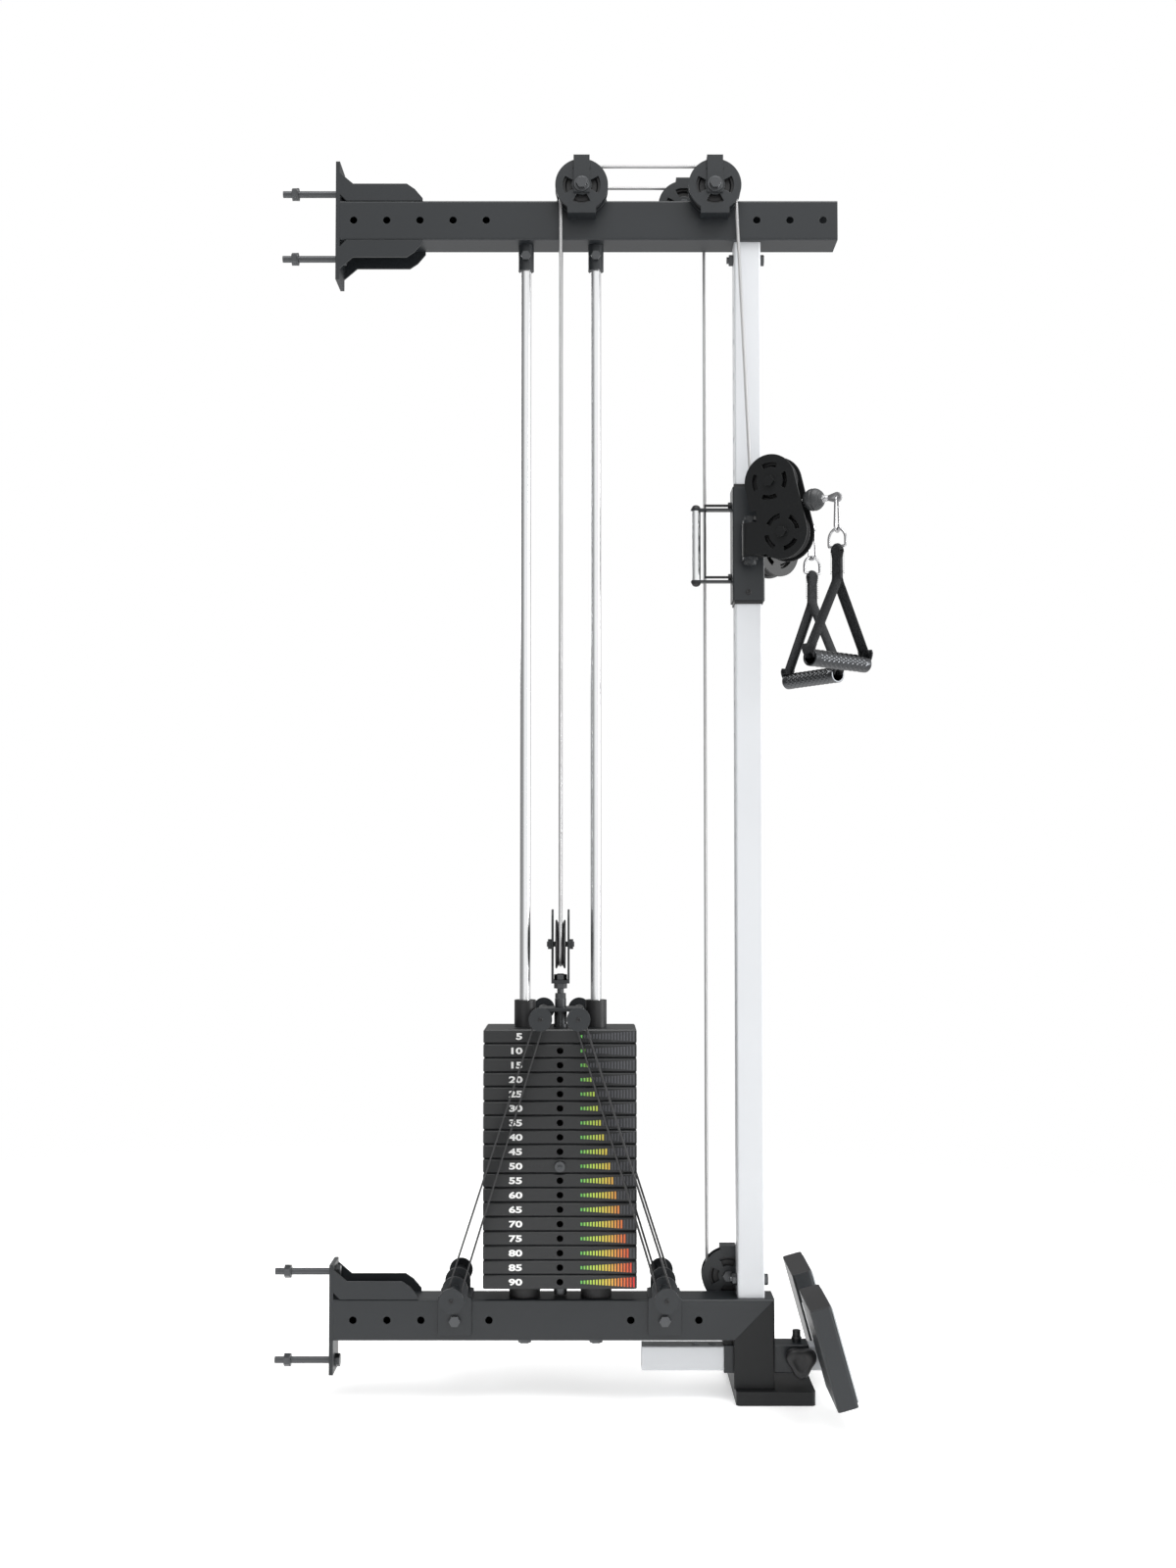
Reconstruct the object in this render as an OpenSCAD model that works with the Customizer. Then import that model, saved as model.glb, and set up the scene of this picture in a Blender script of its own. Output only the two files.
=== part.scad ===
// Rack-mounted cable pulley attachment with a weight stack.
// Millimetres, +Z up, +X from the rack towards the user.
// Origin: centre of the lower rack bolt pattern, on the flange's back face.

/* [Beams] */
// Side of the square tube of both beams
beam = 60; // [50:1:75]
// Wall of the beam tube
beam_wall = 3; // [2:0.5:4]
// Height of the upper beam's centre above the lower beam's centre
rise = 1640; // [1500:10:1900]
// Reach of the upper beam from the rack
upper_reach = 757; // [750:1:900]
// Pitch of the accessory holes in the beams
hole_pitch = 50; // [40:1:55]
// Diameter of the accessory holes
hole_d = 11; // [8:0.5:14]
// Height of the lower beam's centre above the floor
floor_drop = 120; // [110:1:180]

/* [Rack flanges] */
// Thickness of the flange plates
flange_t = 6; // [4:0.5:10]
// Height of the upper flange plate
upper_flange_h = 180; // [170:5:240]
// Height of the lower flange plate
lower_flange_h = 160; // [150:5:220]
// Distance between the two bolts of the upper flange
upper_bolt_gap = 100; // [90:5:110]
// Distance between the two bolts of the lower flange
lower_bolt_gap = 130; // [110:5:134]
// Diameter of the rack bolts
rack_bolt_d = 10; // [8:0.5:12]
// Reach of the rack bolts behind the flange
rack_bolt_reach = 84; // [70:1:110]
// Length of the gusset plates along the beam
gusset_len = 125; // [100:5:150]
// Thickness of the gusset plates
gusset_t = 4; // [3:0.5:6]

/* [Upright] */
// Distance of the upright's centre from the rack
upright_x = 621.5; // [618:0.5:640]
// Side of the square upright tube
upright = 40; // [34:1:44]
// Wall of the upright tube
upright_wall = 2.5; // [2:0.5:4]
// Pitch of the lock holes in the upright
lock_pitch = 50; // [40:1:60]
// Diameter of the lock holes
lock_hole_d = 12; // [11:0.5:14]

/* [Weight stack] */
// Distance of the middle of the stack from the rack
stack_x = 339.5; // [336:0.5:344]
// Distance between the two guide rods
rod_gap = 106; // [102:1:120]
// Diameter of the guide rods
rod_d = 16; // [12:0.5:20]
// Number of plates that the selector pin lifts
lifted_n = 10; // [4:1:10]
// Number of plates that stay down
resting_n = 8; // [4:1:8]
// Height that one plate takes in the stack
plate_pitch = 21; // [18:0.5:22]
// Width of a plate
plate_w = 225; // [200:1:240]
// Depth of a plate
plate_d = 100; // [80:1:110]
// Bevel along the edges of a plate
plate_bevel = 2; // [1:0.5:5]
// Height of the rubber bumpers under the stack
bumper_h = 19.5; // [12:0.5:30]
// Diameter of the selector stem
stem_d = 20; // [16:0.5:22]
// Diameter of the selector pin
pin_d = 9.5; // [7:0.5:10]
// Height of the bushings on the top plate
bushing_h = 40; // [30:1:45]
// Outer diameter of the bushings
bushing_d = 32; // [26:1:32]

/* [Pulleys] */
// Diameter of the steel cable
cable_d = 5; // [4:0.5:6]
// Radius of the cable's centre line round a pulley
cable_r = 31.5; // [30:0.5:31.5]
// Outer diameter of a pulley wheel
wheel_d = 73; // [68:1:73]
// Width of a pulley wheel
wheel_w = 15; // [12:0.5:16]
// Diameter of the guard discs beside a wheel
guard_d = 79; // [76:1:84]
// Thickness of the guard plates
guard_t = 3; // [2:0.5:4]
// Distance of the cable lines from the beam's middle plane
cable_y = 45; // [44:0.5:50]
// Height of the upper pulleys above the upper beam's centre
pulley_up = 44.6; // [44:0.2:50]
// Distance of the column pulley on the rear side from the rack
rear_column_x = 528.5; // [515:0.5:532]
// Distance of the column pulley on the front side from the rack
front_column_x = 570.5; // [560:0.5:571]
// Distance of the low pulley from the rack
low_pulley_x = 591.5; // [570:0.5:592]
// Height of the low pulley above the lower beam's centre
low_pulley_z = 51; // [50:0.5:58]
// Diameter of the pulley bolts
axle_d = 10; // [8:0.5:11]

/* [Band pegs] */
// Distance between the two upper band pegs
top_peg_gap = 55; // [52:0.5:56]
// Distance of the first lower band bracket from the rack
near_bracket_x = 185; // [170:1:190]
// Distance of the second lower band bracket from the rack
far_bracket_x = 493.5; // [489:0.5:500]
// Distance of the peg ends from the middle plane
peg_reach = 107; // [104:1:120]
// Diameter of the upper pegs
top_peg_d = 10; // [8:0.5:10.5]
// Diameter of the lower pegs
low_peg_d = 16; // [12:0.5:18]
// Width of a rubber band
band_w = 30; // [20:1:30]
// Thickness of a rubber band
band_t = 2.5; // [1.5:0.25:3]

/* [Carriage] */
// Height of the carriage's centre above the lower beam's centre
carriage_z = 1150; // [1100:1:1200]
// Height of the carriage sleeve
sleeve_h = 171; // [166:1:200]
// Wall of the carriage sleeve
sleeve_wall = 2.5; // [2:0.25:3]
// Gap between the upright and the carriage's liners
slide_gap = 0.3; // [0.2:0.1:0.6]
// Distance between the two handle plates
handle_gap = 109; // [95:1:120]
// Diameter of the carriage's grip tube
grip_tube_d = 14; // [12:0.5:16]
// Distance of the grip tube from the upright's centre
grip_tube_off = 77.5; // [76:0.5:90]
// Distance of the housing hinges from the middle plane
hinge_y = 50; // [48:0.5:56]
// Angle that the front cable housing stands away from the beam
front_angle = 30; // [25:1:40]
// Angle that the rear cable housing stands away from the beam
rear_angle = 35; // [25:1:40]

/* [Cable housings] */
// Radius of the housing's round ends
lobe_r = 40; // [39:0.5:42]
// Clear width between the housing's side plates
housing_gap = 23; // [18:0.5:24]
// Distance of the upper wheel from the hinge
upper_wheel_u = 38; // [36:0.5:39]
// Distance of the lower wheel from the hinge
lower_wheel_u = 57.5; // [56:0.5:59]
// Distance of the ball stop from the hinge
ball_u = 102.5; // [102:0.5:108]
// Diameter of the ball stop
ball_d = 33; // [26:0.5:34]

/* [Handles] */
// Distance of the handle's eye from the hinge
eye_u = 138.5; // [138:0.5:146]
// Distance of the grip's centre below the eye
handle_drop = 238; // [225:1:260]
// Length of a grip
grip_len = 130; // [110:1:145]
// Outer diameter of a grip
grip_d = 25; // [24:0.5:30]
// Width of the webbing
strap_w = 25; // [20:1:28]
// Thickness of the webbing
strap_t = 3; // [2:0.5:4]
// Turn of the front grip about the vertical
front_grip_turn = 45; // [20:1:60]
// Turn of the rear grip about the vertical
rear_grip_turn = -60; // [-70:1:-20]

/* [Foot rest] */
// Side of the square sliding tube
slide_tube = 35; // [30:1:36]
// Wall of the sliding tube
slide_wall = 2.5; // [2:0.5:3]
// Wall of the sleeve round the sliding tube
foot_sleeve_wall = 2.5; // [2:0.5:3]
// Length of the sliding tube
slide_len = 275; // [260:1:290]
// Length of a foot plate across the beam
foot_plate_w = 140; // [110:1:160]
// Height of a foot plate along its slope
foot_plate_h = 144; // [130:1:150]
// Thickness of a foot plate
foot_plate_t = 30; // [24:1:34]
// Lean of the foot plates
foot_lean = 15.5; // [10:0.5:18]

/* [Hidden] */
$fn = 48;

// Gaps: a running fit, a loose fit, and the air between stacked plates
run_gap = 0.08;
loose_gap = 0.3;
plate_gap = 0.4;
hole_slack = 0.5;

half_beam = beam / 2;
plate_t = plate_pitch - plate_gap;
stack_floor = half_beam + bumper_h;
resting_top = stack_floor + resting_n * plate_pitch;
stack_top = resting_top + lifted_n * plate_pitch;
rod_xs = [stack_x - rod_gap / 2, stack_x + rod_gap / 2];
upper_bottom = rise - half_beam;
beam_start = flange_t;

// Lower beam ends in a mitre on the leg, whose middle is this far out
leg_x = upright_x + 3.5;
lower_reach = leg_x + half_beam;
pad_h = 20;
leg_bottom = pad_h - floor_drop;

// Gussets
gusset_h = 26;
gusset_rise = 43;
gusset_notch = 10;
gusset_y = half_beam - gusset_t / 2;

// Hexagon bolts: width across the flats and heights of head and nut
rack_hex = 17;
rack_head_h = 7;
rack_nut_h = 8;
rack_neck_d = rack_bolt_d + 1;
rack_washer_d = 19;
rack_washer_t = 2;
rack_depth = 60;
axle_hex = 15;
axle_head_h = 6.5;
axle_washer_d = 23;
axle_washer_t = 2;
small_hex = 13;
small_bolt_d = 8;
small_head_h = 5.5;

// Pulleys
wheel_r = wheel_d / 2;
guard_r = guard_d / 2;
guard_gap = wheel_w + 3;
guard_half = guard_gap / 2 + guard_t;
guard_strap_w = 24;
guard_strap_t = 3;
guard_lift = 2;
guard_foot_w = 43;
web_top = -(wheel_r + 1);
web_bottom = web_top - 5;
guard_pad_h = 20;
pulley_z = rise + pulley_up;
stack_pulley_x = stack_x + cable_r;
window_in = 15;
window_out = 28;
window_half = 28;

// Beam hole positions
first_hole = 27;
stack_holes = [for (i = [0:4]) first_hole + i * hole_pitch];
column_hole = upright_x + 13.5;
column_holes = [for (i = [0:2]) column_hole + i * hole_pitch];
near_holes = [for (i = [-3, -2, -1, 1]) near_bracket_x + i * hole_pitch];
far_holes = [for (i = [-1, 1]) far_bracket_x + i * hole_pitch];

// Upright: a tongue in each beam holds it, with one through bolt each
upright_half = upright / 2;
tongue = upright - 2 * upright_wall - 2 * hole_slack;
tongue_h = 46;
top_bolt_z = upper_bottom - 22;
low_bolt_z = half_beam + 23;

// Rod sockets
socket_d = rod_d + 7.5;
socket_h = 39;
socket_bolt_z = upper_bottom - 19;

// Top of the stack
collar_d = 19;
peg_z = stack_top + 18.5;
crossbar_t = 5;
crossbar_z = peg_z + top_peg_d / 2;
crossbar_d = 50;
stem_rod_d = 10;
upper_collar_h = 13;
yoke_z = stack_top + 64.5;
yoke_base_t = 5;
yoke_gap = wheel_w + 6;
yoke_t = 3;
yoke_w = 30;
yoke_h = 110;
yoke_reach = 58;
yoke_wheel_z = yoke_z + yoke_reach;
pin_z = resting_top + plate_t / 2;
pin_tip = stem_d / 2 - 1;

// Band pegs
top_peg_xs = [stack_x - top_peg_gap / 2, stack_x + top_peg_gap / 2];
low_peg_z = half_beam + 15;
low_peg_xs = [near_bracket_x, far_bracket_x];
peg_disc_t = 4;
top_disc_d = 34;
low_disc_d = 36;
band_mid_y = 79;
bracket_w = 49;
bracket_t = 4;
bracket_drop = half_beam - 8;
bracket_neck_r = 19;

// Carriage
sleeve_in_x = upright + 3;
sleeve_in_y = upright + 5;
sleeve_x = sleeve_in_x + 2 * sleeve_wall;
sleeve_y = sleeve_in_y + 2 * sleeve_wall;
liner_lip = 5;
sleeve_face = upright_x - sleeve_x / 2;
bracket_plate_t = 3;
bracket_plate_w = grip_tube_d + 2;
grip_x = upright_x - grip_tube_off;
handle_z = carriage_z + 0.5;
handle_zs = [handle_z - handle_gap / 2, handle_z + handle_gap / 2];
lever_pin_d = 10;
lever_bar_t = 3;
lever_bar_w = 6;
lever_x = grip_x + grip_tube_d / 2 + 5.5;
lever_t = 2;
lever_lift = bracket_plate_t / 2 + loose_gap + lever_pin_d / 2;
lever_slot_w = lever_bar_w + 2;
lever_travel = 5;

// Housings, in the frame of the hinge: u outwards, n across, z up
arm_h = 48.5;
arm_z = carriage_z;
hinge_pin_d = 10;
barrel_d = 24;
lug_t = 5;
lug_w = 22;
lug_gap = 0.3;
cheek_u = lower_wheel_u - wheel_d / 2 - 2;
upper_wheel_z = carriage_z + 82.5;
lower_wheel_z = carriage_z + 5.7;
drop_end_up = 25;
notch_u = 17;
slot_in = 21;
slot_out = 28;
slot_half = 27;
lower_slot_turn = 34;
housing_half = housing_gap / 2 + guard_t;
exit_z = upper_wheel_z - cable_r;
ferrule_d = 9;
tang_back = 13;
tang_root_r = 4;
tang_r = 7.8;
tang_t = 3;
clip_wire_d = 4;
tang_hole_d = clip_wire_d + 2 * loose_gap;

// Handles, in the frame of the eye
clip_arc = 8;
clip_len = 50;
ring_half = strap_w / 2 + 2.5;
ring_top = clip_len - clip_wire_d - loose_gap;
ring_bar = 72;
sewn_end = 115;
grip_wall = 3;
strap_out = 4;

// Foot rest
foot_outer = slide_tube + 1 + 2 * foot_sleeve_wall;
foot_z = -(half_beam + foot_outer / 2 + 8.5);
foot_sleeve_start = leg_x - half_beam - 14;
foot_sleeve_end = leg_x + half_beam + 51;
slide_start = upright_x - 161.5;
pad_inset = 2;
pad_ahead = 58;
pad_to_front = 15;
pad_to_rear = 125;
foot_plate_x = upright_x + 101;
foot_plate_z = -17;
foot_plate_y = 45;
foot_bar_t = 24;
foot_bar_h = 80;
foot_bar_drop = 10;
tread_t = 2;
cap_t = 3;
plate_wall = 3;
pop_x = upright_x + 68.5;
pop_hole_d = 8;
knob_x = upright_x + 71.5;
knob_shank_d = 10;
knob_lobe_d = 24;
knob_h = 20;
knob_boss_t = 3;
slide_hole_pitch = 25;

// Colours
frame_colour = "#45494c";
light_colour = "#dfe3e6";
chrome_colour = "#c9ced2";
plate_colour = "#2c2f32";
rubber_colour = "#1c1d1f";
cable_colour = "#7c8084";

// Basic shapes

// Rectangle w by h about the origin with round corners
module round_rect(w, h, r) {
    square([w - 2 * r, h], center = true);
    square([w, h - 2 * r], center = true);
    for (x = [-1, 1], y = [-1, 1])
        translate([x * (w / 2 - r), y * (h / 2 - r)]) circle(r);
}

// Square tube that stands along z, from z = 0
module square_tube(side, wall, len, r = 3) {
    linear_extrude(len) difference() {
        round_rect(side, side, r);
        round_rect(side - 2 * wall, side - 2 * wall, max(r - wall, 0.5));
    }
}

// Turns what stands along z so that it runs along x
module along_x() rotate([0, 90, 0]) children();

// Turns what stands along z so that it runs along -y
module along_y() rotate([90, 0, 0]) children();

// Sheet of thickness t in the x-z plane, about y = 0
module sheet_xz(t) along_y() linear_extrude(t, center = true) children();

module hex(af, h) cylinder(d = af / cos(30), h = h, $fn = 6);

module ring(d_out, d_in, h) difference() {
    cylinder(d = d_out, h = h);
    translate([0, 0, -1]) cylinder(d = d_in, h = h + 2);
}

// Round rod from point a to point b
module rod_between(a, b, d) {
    v = b - a;
    translate(a) rotate([0, acos(v[2] / norm(v)), atan2(v[1], v[0])])
        cylinder(d = d, h = norm(v));
}

// Outline of a belt round two circles: the circles and the strip between them
// The straight sides lie a hair inside the tangents, so that they cross the circles
belt_tuck = 0.02;
module belt_2d(a, ra, b, rb) {
    v = b - a;
    turn = atan2(v[1], v[0]);
    lean = acos((ra - rb) / norm(v));
    function on(c, r, t) = c + (r - belt_tuck) * [cos(t), sin(t)];
    translate(a) circle(ra);
    translate(b) circle(rb);
    polygon([on(a, ra, turn + lean), on(b, rb, turn + lean),
        on(b, rb, turn - lean), on(a, ra, turn - lean)]);
}

// Sector of a ring, about the direction turn
module window_2d(r_in, r_out, half, turn) {
    reach = 1.5 * r_out;
    rotate(turn) intersection() {
        difference() {
            circle(r_out);
            circle(r_in);
        }
        polygon([[0, 0], reach * [cos(half), -sin(half)],
            reach * [cos(half), sin(half)]]);
    }
}

// Copies the children to both sides of the middle plane
module both_sides() {
    children();
    mirror([0, 1, 0]) children();
}

// Frame

module beam_holes(xs) {
    for (x = xs) translate([x, 0, 0]) along_y()
        cylinder(d = hole_d, h = beam + 2, center = true);
}

// Tongue inside an end of the upright, standing on z = 0
module tongue_body() square_tube(tongue, beam_wall, tongue_h, 2);

module upper_beam() color(frame_colour) {
    translate([0, 0, rise]) difference() {
        translate([beam_start, 0, 0]) along_x()
            square_tube(beam, beam_wall, upper_reach - beam_start);
        beam_holes(concat(stack_holes, column_holes));
        for (x = rod_xs) translate([x, 0, -half_beam - 1])
            cylinder(d = stem_rod_d, h = beam_wall + 2);
    }
    difference() {
        translate([upright_x, 0, upper_bottom - tongue_h]) tongue_body();
        translate([upright_x, 0, top_bolt_z]) along_x()
            cylinder(d = axle_d + hole_slack, h = beam, center = true);
    }
}

module lower_beam() color(frame_colour) {
    difference() {
        translate([beam_start, 0, 0]) along_x()
            square_tube(beam, beam_wall, lower_reach - beam_start);
        beam_holes(concat(near_holes, far_holes, low_peg_xs));
        for (x = rod_xs) translate([x, 0, -half_beam - 1])
            cylinder(d = stem_rod_d + hole_slack, h = beam + 2);
        mitre_cut(1);
    }
    difference() {
        translate([upright_x, 0, half_beam]) tongue_body();
        translate([upright_x, 0, low_bolt_z]) along_x()
            cylinder(d = axle_d + hole_slack, h = beam, center = true);
    }
}

// Half space beyond (side 1) or before (side -1) the mitre at the leg
module mitre_cut(side) {
    far = 2 * beam;
    translate([leg_x, 0, 0]) rotate([0, 45, 0])
        translate([side > 0 ? 0 : -far, -beam, -far]) cube([far, 2 * beam, 2 * far]);
}

module foot_leg() color(frame_colour) difference() {
    translate([leg_x, 0, leg_bottom])
        square_tube(beam, beam_wall, half_beam - leg_bottom);
    mitre_cut(-1);
    translate([leg_x, 0, foot_z])
        cube([beam + 2, foot_outer, foot_outer], center = true);
}

module foot_pad() color(frame_colour) {
    pad_x0 = leg_x - half_beam + pad_inset;
    pad_x1 = leg_x + half_beam + pad_ahead;
    pad_y0 = -half_beam - pad_to_front;
    pad_y1 = half_beam + pad_to_rear;
    translate([(pad_x0 + pad_x1) / 2, (pad_y0 + pad_y1) / 2, -floor_drop])
        linear_extrude(pad_h) round_rect(pad_x1 - pad_x0, pad_y1 - pad_y0, 6);
}

// Outline of a gusset that stands on the beam's face, from the flange at x = 0
module gusset_2d() {
    knee = 20;
    polygon([[gusset_notch, 0], [gusset_len, 0], [gusset_len, 4],
        [gusset_len - 12, gusset_h - 8], [gusset_len - 24, gusset_h], [knee, gusset_h],
        [0, gusset_rise], [0, gusset_notch]]);
}

// Flange plate with its gussets; both = true puts them under the beam too
module flange(h, bolt_gap, both) {
    difference() {
        translate([0, -half_beam, -h / 2]) cube([flange_t, beam, h]);
        for (z = [-1, 1]) translate([-1, 0, z * bolt_gap / 2]) along_x()
            cylinder(d = rack_neck_d + 2 * run_gap, h = flange_t + 2);
    }
    for (y = [-1, 1], z = both ? [-1, 1] : [1])
        translate([flange_t, y * gusset_y, z * half_beam])
            mirror([0, 0, z < 0 ? 1 : 0]) sheet_xz(gusset_t) gusset_2d();
}

module upper_rack_flange() color(frame_colour)
    translate([0, 0, rise]) flange(upper_flange_h, upper_bolt_gap, true);

module lower_rack_flange() color(frame_colour)
    flange(lower_flange_h, lower_bolt_gap, false);

module upright() color(light_colour) difference() {
    translate([upright_x, 0, half_beam])
        square_tube(upright, upright_wall, upper_bottom - half_beam);
    for (z = [low_bolt_z, top_bolt_z]) translate([upright_x, 0, z]) along_x()
        cylinder(d = axle_d + hole_slack, h = beam, center = true);
    lock_z = handle_zs[1] + lever_lift;
    for (i = [-18:6]) translate([upright_x - upright_half - 1, 0, lock_z + i * lock_pitch])
        along_x() cylinder(d = lock_hole_d, h = upright_wall + 2);
}

// Bolt that points along -x: head and neck in the flange, washer and nut behind the rack post
module rack_bolt() {
    translate([flange_t, 0, 0]) along_x() hex(rack_hex, rack_head_h);
    along_x() cylinder(d = rack_neck_d, h = flange_t + 1);
    translate([-rack_bolt_reach, 0, 0]) along_x()
        cylinder(d = rack_bolt_d, h = rack_bolt_reach + 1);
    translate([-rack_depth - rack_washer_t, 0, 0]) along_x()
        ring(rack_washer_d, rack_bolt_d, rack_washer_t);
    translate([-rack_depth - rack_washer_t - rack_nut_h, 0, 0]) along_x()
        hex(rack_hex, rack_nut_h);
}

module rack_bolts() color("silver") {
    for (z = [-1, 1]) translate([0, 0, z * lower_bolt_gap / 2]) rack_bolt();
    for (z = [-1, 1]) translate([0, 0, rise + z * upper_bolt_gap / 2]) rack_bolt();
}

module guide_rods() color(chrome_colour) for (x = rod_xs) difference() {
    translate([x, 0, half_beam]) cylinder(d = rod_d, h = upper_bottom - half_beam);
    translate([x, 0, half_beam - 1]) cylinder(d = stem_rod_d + run_gap, h = 26);
}

module rod_sockets() color(frame_colour) for (x = rod_xs) difference() {
    translate([x, 0, upper_bottom - socket_h])
        cylinder(d = socket_d, h = socket_h);
    translate([x, 0, upper_bottom - socket_h - 1])
        cylinder(d = rod_d + run_gap, h = socket_h + 2);
    translate([x, 0, socket_bolt_z]) along_y() cylinder(d = small_bolt_d, h = socket_d);
}

// Bolts of the guide rods, of the rod sockets, of the upright and of the brackets
module frame_bolts() color("#303336") {
    for (x = rod_xs) {
        translate([x, 0, -half_beam]) {
            mirror([0, 0, 1]) ring(rack_washer_d, stem_rod_d, rack_washer_t);
            mirror([0, 0, 1]) translate([0, 0, rack_washer_t]) hex(rack_hex, rack_head_h);
            translate([0, 0, -rack_washer_t - 1])
                cylinder(d = stem_rod_d, h = beam + 24);
        }
        translate([x, -rod_d / 2 - run_gap, socket_bolt_z]) along_y() {
            cylinder(d = small_bolt_d - run_gap, h = socket_d / 2 - rod_d / 2 + 1);
            translate([0, 0, (socket_d - rod_d) / 2 + run_gap]) hex(small_hex, small_head_h);
        }
    }
    for (z = [low_bolt_z, top_bolt_z]) translate([upright_x, 0, z]) along_x() {
        translate([0, 0, -upright_half - 10])
            cylinder(d = axle_d, h = upright + 11);
        translate([0, 0, upright_half]) hex(axle_hex, axle_head_h);
        translate([0, 0, -upright_half - axle_head_h]) hex(axle_hex, axle_head_h);
    }
    for (x = low_peg_xs) translate([x, 0, 0]) along_y() {
        side = half_beam + bracket_t;
        translate([0, 0, -side - 10]) cylinder(d = axle_d, h = 2 * side + 11);
        translate([0, 0, side]) hex(axle_hex, axle_head_h);
        translate([0, 0, -side - axle_head_h]) hex(axle_hex, axle_head_h);
    }
}

module stack_bumpers() color(rubber_colour) for (x = rod_xs)
    translate([x, 0, half_beam]) ring(46, rod_d + 2 * run_gap, bumper_h);

// Guards, wheels and bolts of the pulleys

// Guard of one pulley, about the wheel's centre, with the beam towards -y
module guard() {
    difference() {
        union() {
            for (y = [-1, 1]) translate([0, y * (guard_half - guard_t / 2), 0])
                sheet_xz(guard_t) guard_side_2d();
            translate([-guard_foot_w / 2, -guard_half, web_bottom])
                cube([guard_foot_w, 2 * guard_half, web_top - web_bottom]);
            translate([-guard_foot_w / 2, -(cable_y - half_beam), web_bottom])
                cube([guard_foot_w, cable_y - half_beam - guard_half, guard_pad_h]);
            guard_strap();
        }
        along_y() cylinder(d = axle_d + run_gap, h = 4 * guard_half, center = true);
    }
}

module guard_side_2d() difference() {
    union() {
        circle(guard_r);
        translate([-guard_foot_w / 2, web_bottom]) square([guard_foot_w, -web_bottom]);
    }
    for (i = [0:3]) window_2d(window_in, window_out, window_half, 90 * i);
}

// Strap from the bolt over the top of the wheel
module guard_strap() {
    top = guard_r + guard_lift;
    out = guard_half + guard_strap_t;
    translate([-guard_strap_w / 2, guard_half, -guard_strap_w / 2])
        cube([guard_strap_w, guard_strap_t, top + guard_strap_w / 2]);
    translate([-guard_strap_w / 2, -guard_half, top])
        cube([guard_strap_w, guard_half + out, guard_strap_t]);
    for (y = [-guard_half, guard_half - guard_t])
        translate([-guard_strap_w / 2, y, guard_r - 12])
            cube([guard_strap_w, guard_t, 12 + guard_lift]);
}

front_pulleys = [[stack_pulley_x, pulley_z], [front_column_x, pulley_z]];
rear_pulleys = [[stack_pulley_x, pulley_z], [rear_column_x, pulley_z],
    [low_pulley_x, low_pulley_z]];

module front_pulley_guards() color(frame_colour) for (p = front_pulleys)
    translate([p[0], -cable_y, p[1]]) mirror([0, 1, 0]) guard();

module rear_pulley_guards() color(frame_colour) for (p = rear_pulleys)
    translate([p[0], cable_y, p[1]]) guard();

// Head and washer outside a guard, on a bolt along y
module axle_head() along_y() {
    face = guard_half + guard_strap_t;
    translate([0, 0, -face - axle_washer_t]) ring(axle_washer_d, axle_d, axle_washer_t);
    translate([0, 0, -face - axle_washer_t - axle_head_h]) hex(axle_hex, axle_head_h);
}

// Bolt of one pulley with its nut on the beam's side
module short_axle() {
    axle_head();
    inner = guard_half + axle_head_h;
    outer = guard_half + guard_strap_t + axle_washer_t + 1;
    along_y() {
        translate([0, 0, -outer]) cylinder(d = axle_d, h = inner + outer);
        translate([0, 0, guard_half]) hex(axle_hex, axle_head_h);
    }
}

module pulley_bolts() color("#303336") {
    translate([front_column_x, -cable_y, pulley_z]) mirror([0, 1, 0]) short_axle();
    translate([rear_column_x, cable_y, pulley_z]) short_axle();
    translate([low_pulley_x, cable_y, low_pulley_z]) short_axle();
    translate([stack_pulley_x, 0, pulley_z]) {
        both_sides() translate([0, cable_y, 0]) axle_head();
        reach = cable_y + guard_half + guard_strap_t + axle_washer_t + 1;
        along_y() cylinder(d = axle_d, h = 2 * reach, center = true);
    }
}

// Wheel about the origin with its bore along z
module wheel(bore_d) {
    half = wheel_w / 2;
    groove = cable_d / 2 + 0.3;
    hub_r = 13;
    rim_r = cable_r - groove - 4;
    web = 4;
    rotate_extrude() difference() {
        polygon([[bore_d / 2, -half], [hub_r, -half], [hub_r + 2, -web],
            [rim_r - 2, -web], [rim_r, -half], [wheel_r - 1, -half],
            [wheel_r, -half + 1], [wheel_r, half - 1], [wheel_r - 1, half],
            [rim_r, half], [rim_r - 2, web], [hub_r + 2, web], [hub_r, half],
            [bore_d / 2, half]]);
        translate([cable_r, 0]) circle(groove);
        polygon([[cable_r, -groove], [wheel_r + 1, -half + 1.5],
            [wheel_r + 1, half - 1.5], [cable_r, groove]]);
    }
}

module wheel_y() along_y() wheel(axle_d + 2 * run_gap);

module front_stack_pulley() color(rubber_colour)
    translate([stack_pulley_x, -cable_y, pulley_z]) wheel_y();
module front_column_pulley() color(rubber_colour)
    translate([front_column_x, -cable_y, pulley_z]) wheel_y();
module rear_stack_pulley() color(rubber_colour)
    translate([stack_pulley_x, cable_y, pulley_z]) wheel_y();
module rear_column_pulley() color(rubber_colour)
    translate([rear_column_x, cable_y, pulley_z]) wheel_y();
module low_pulley() color(rubber_colour)
    translate([low_pulley_x, cable_y, low_pulley_z]) wheel_y();

// Weight stack

// One plate with its bevelled edges, from z = 0, without its holes
module plate_block() {
    b = plate_bevel;
    module side_2d(w) polygon([[-w / 2 + b, 0], [w / 2 - b, 0], [w / 2, b],
        [w / 2, plate_t - b], [w / 2 - b, plate_t], [-w / 2 + b, plate_t],
        [-w / 2, plate_t - b], [-w / 2, b]]);
    intersection() {
        sheet_xz(plate_d) side_2d(plate_w);
        rotate([0, 0, 90]) sheet_xz(plate_w) side_2d(plate_d);
    }
}

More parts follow.
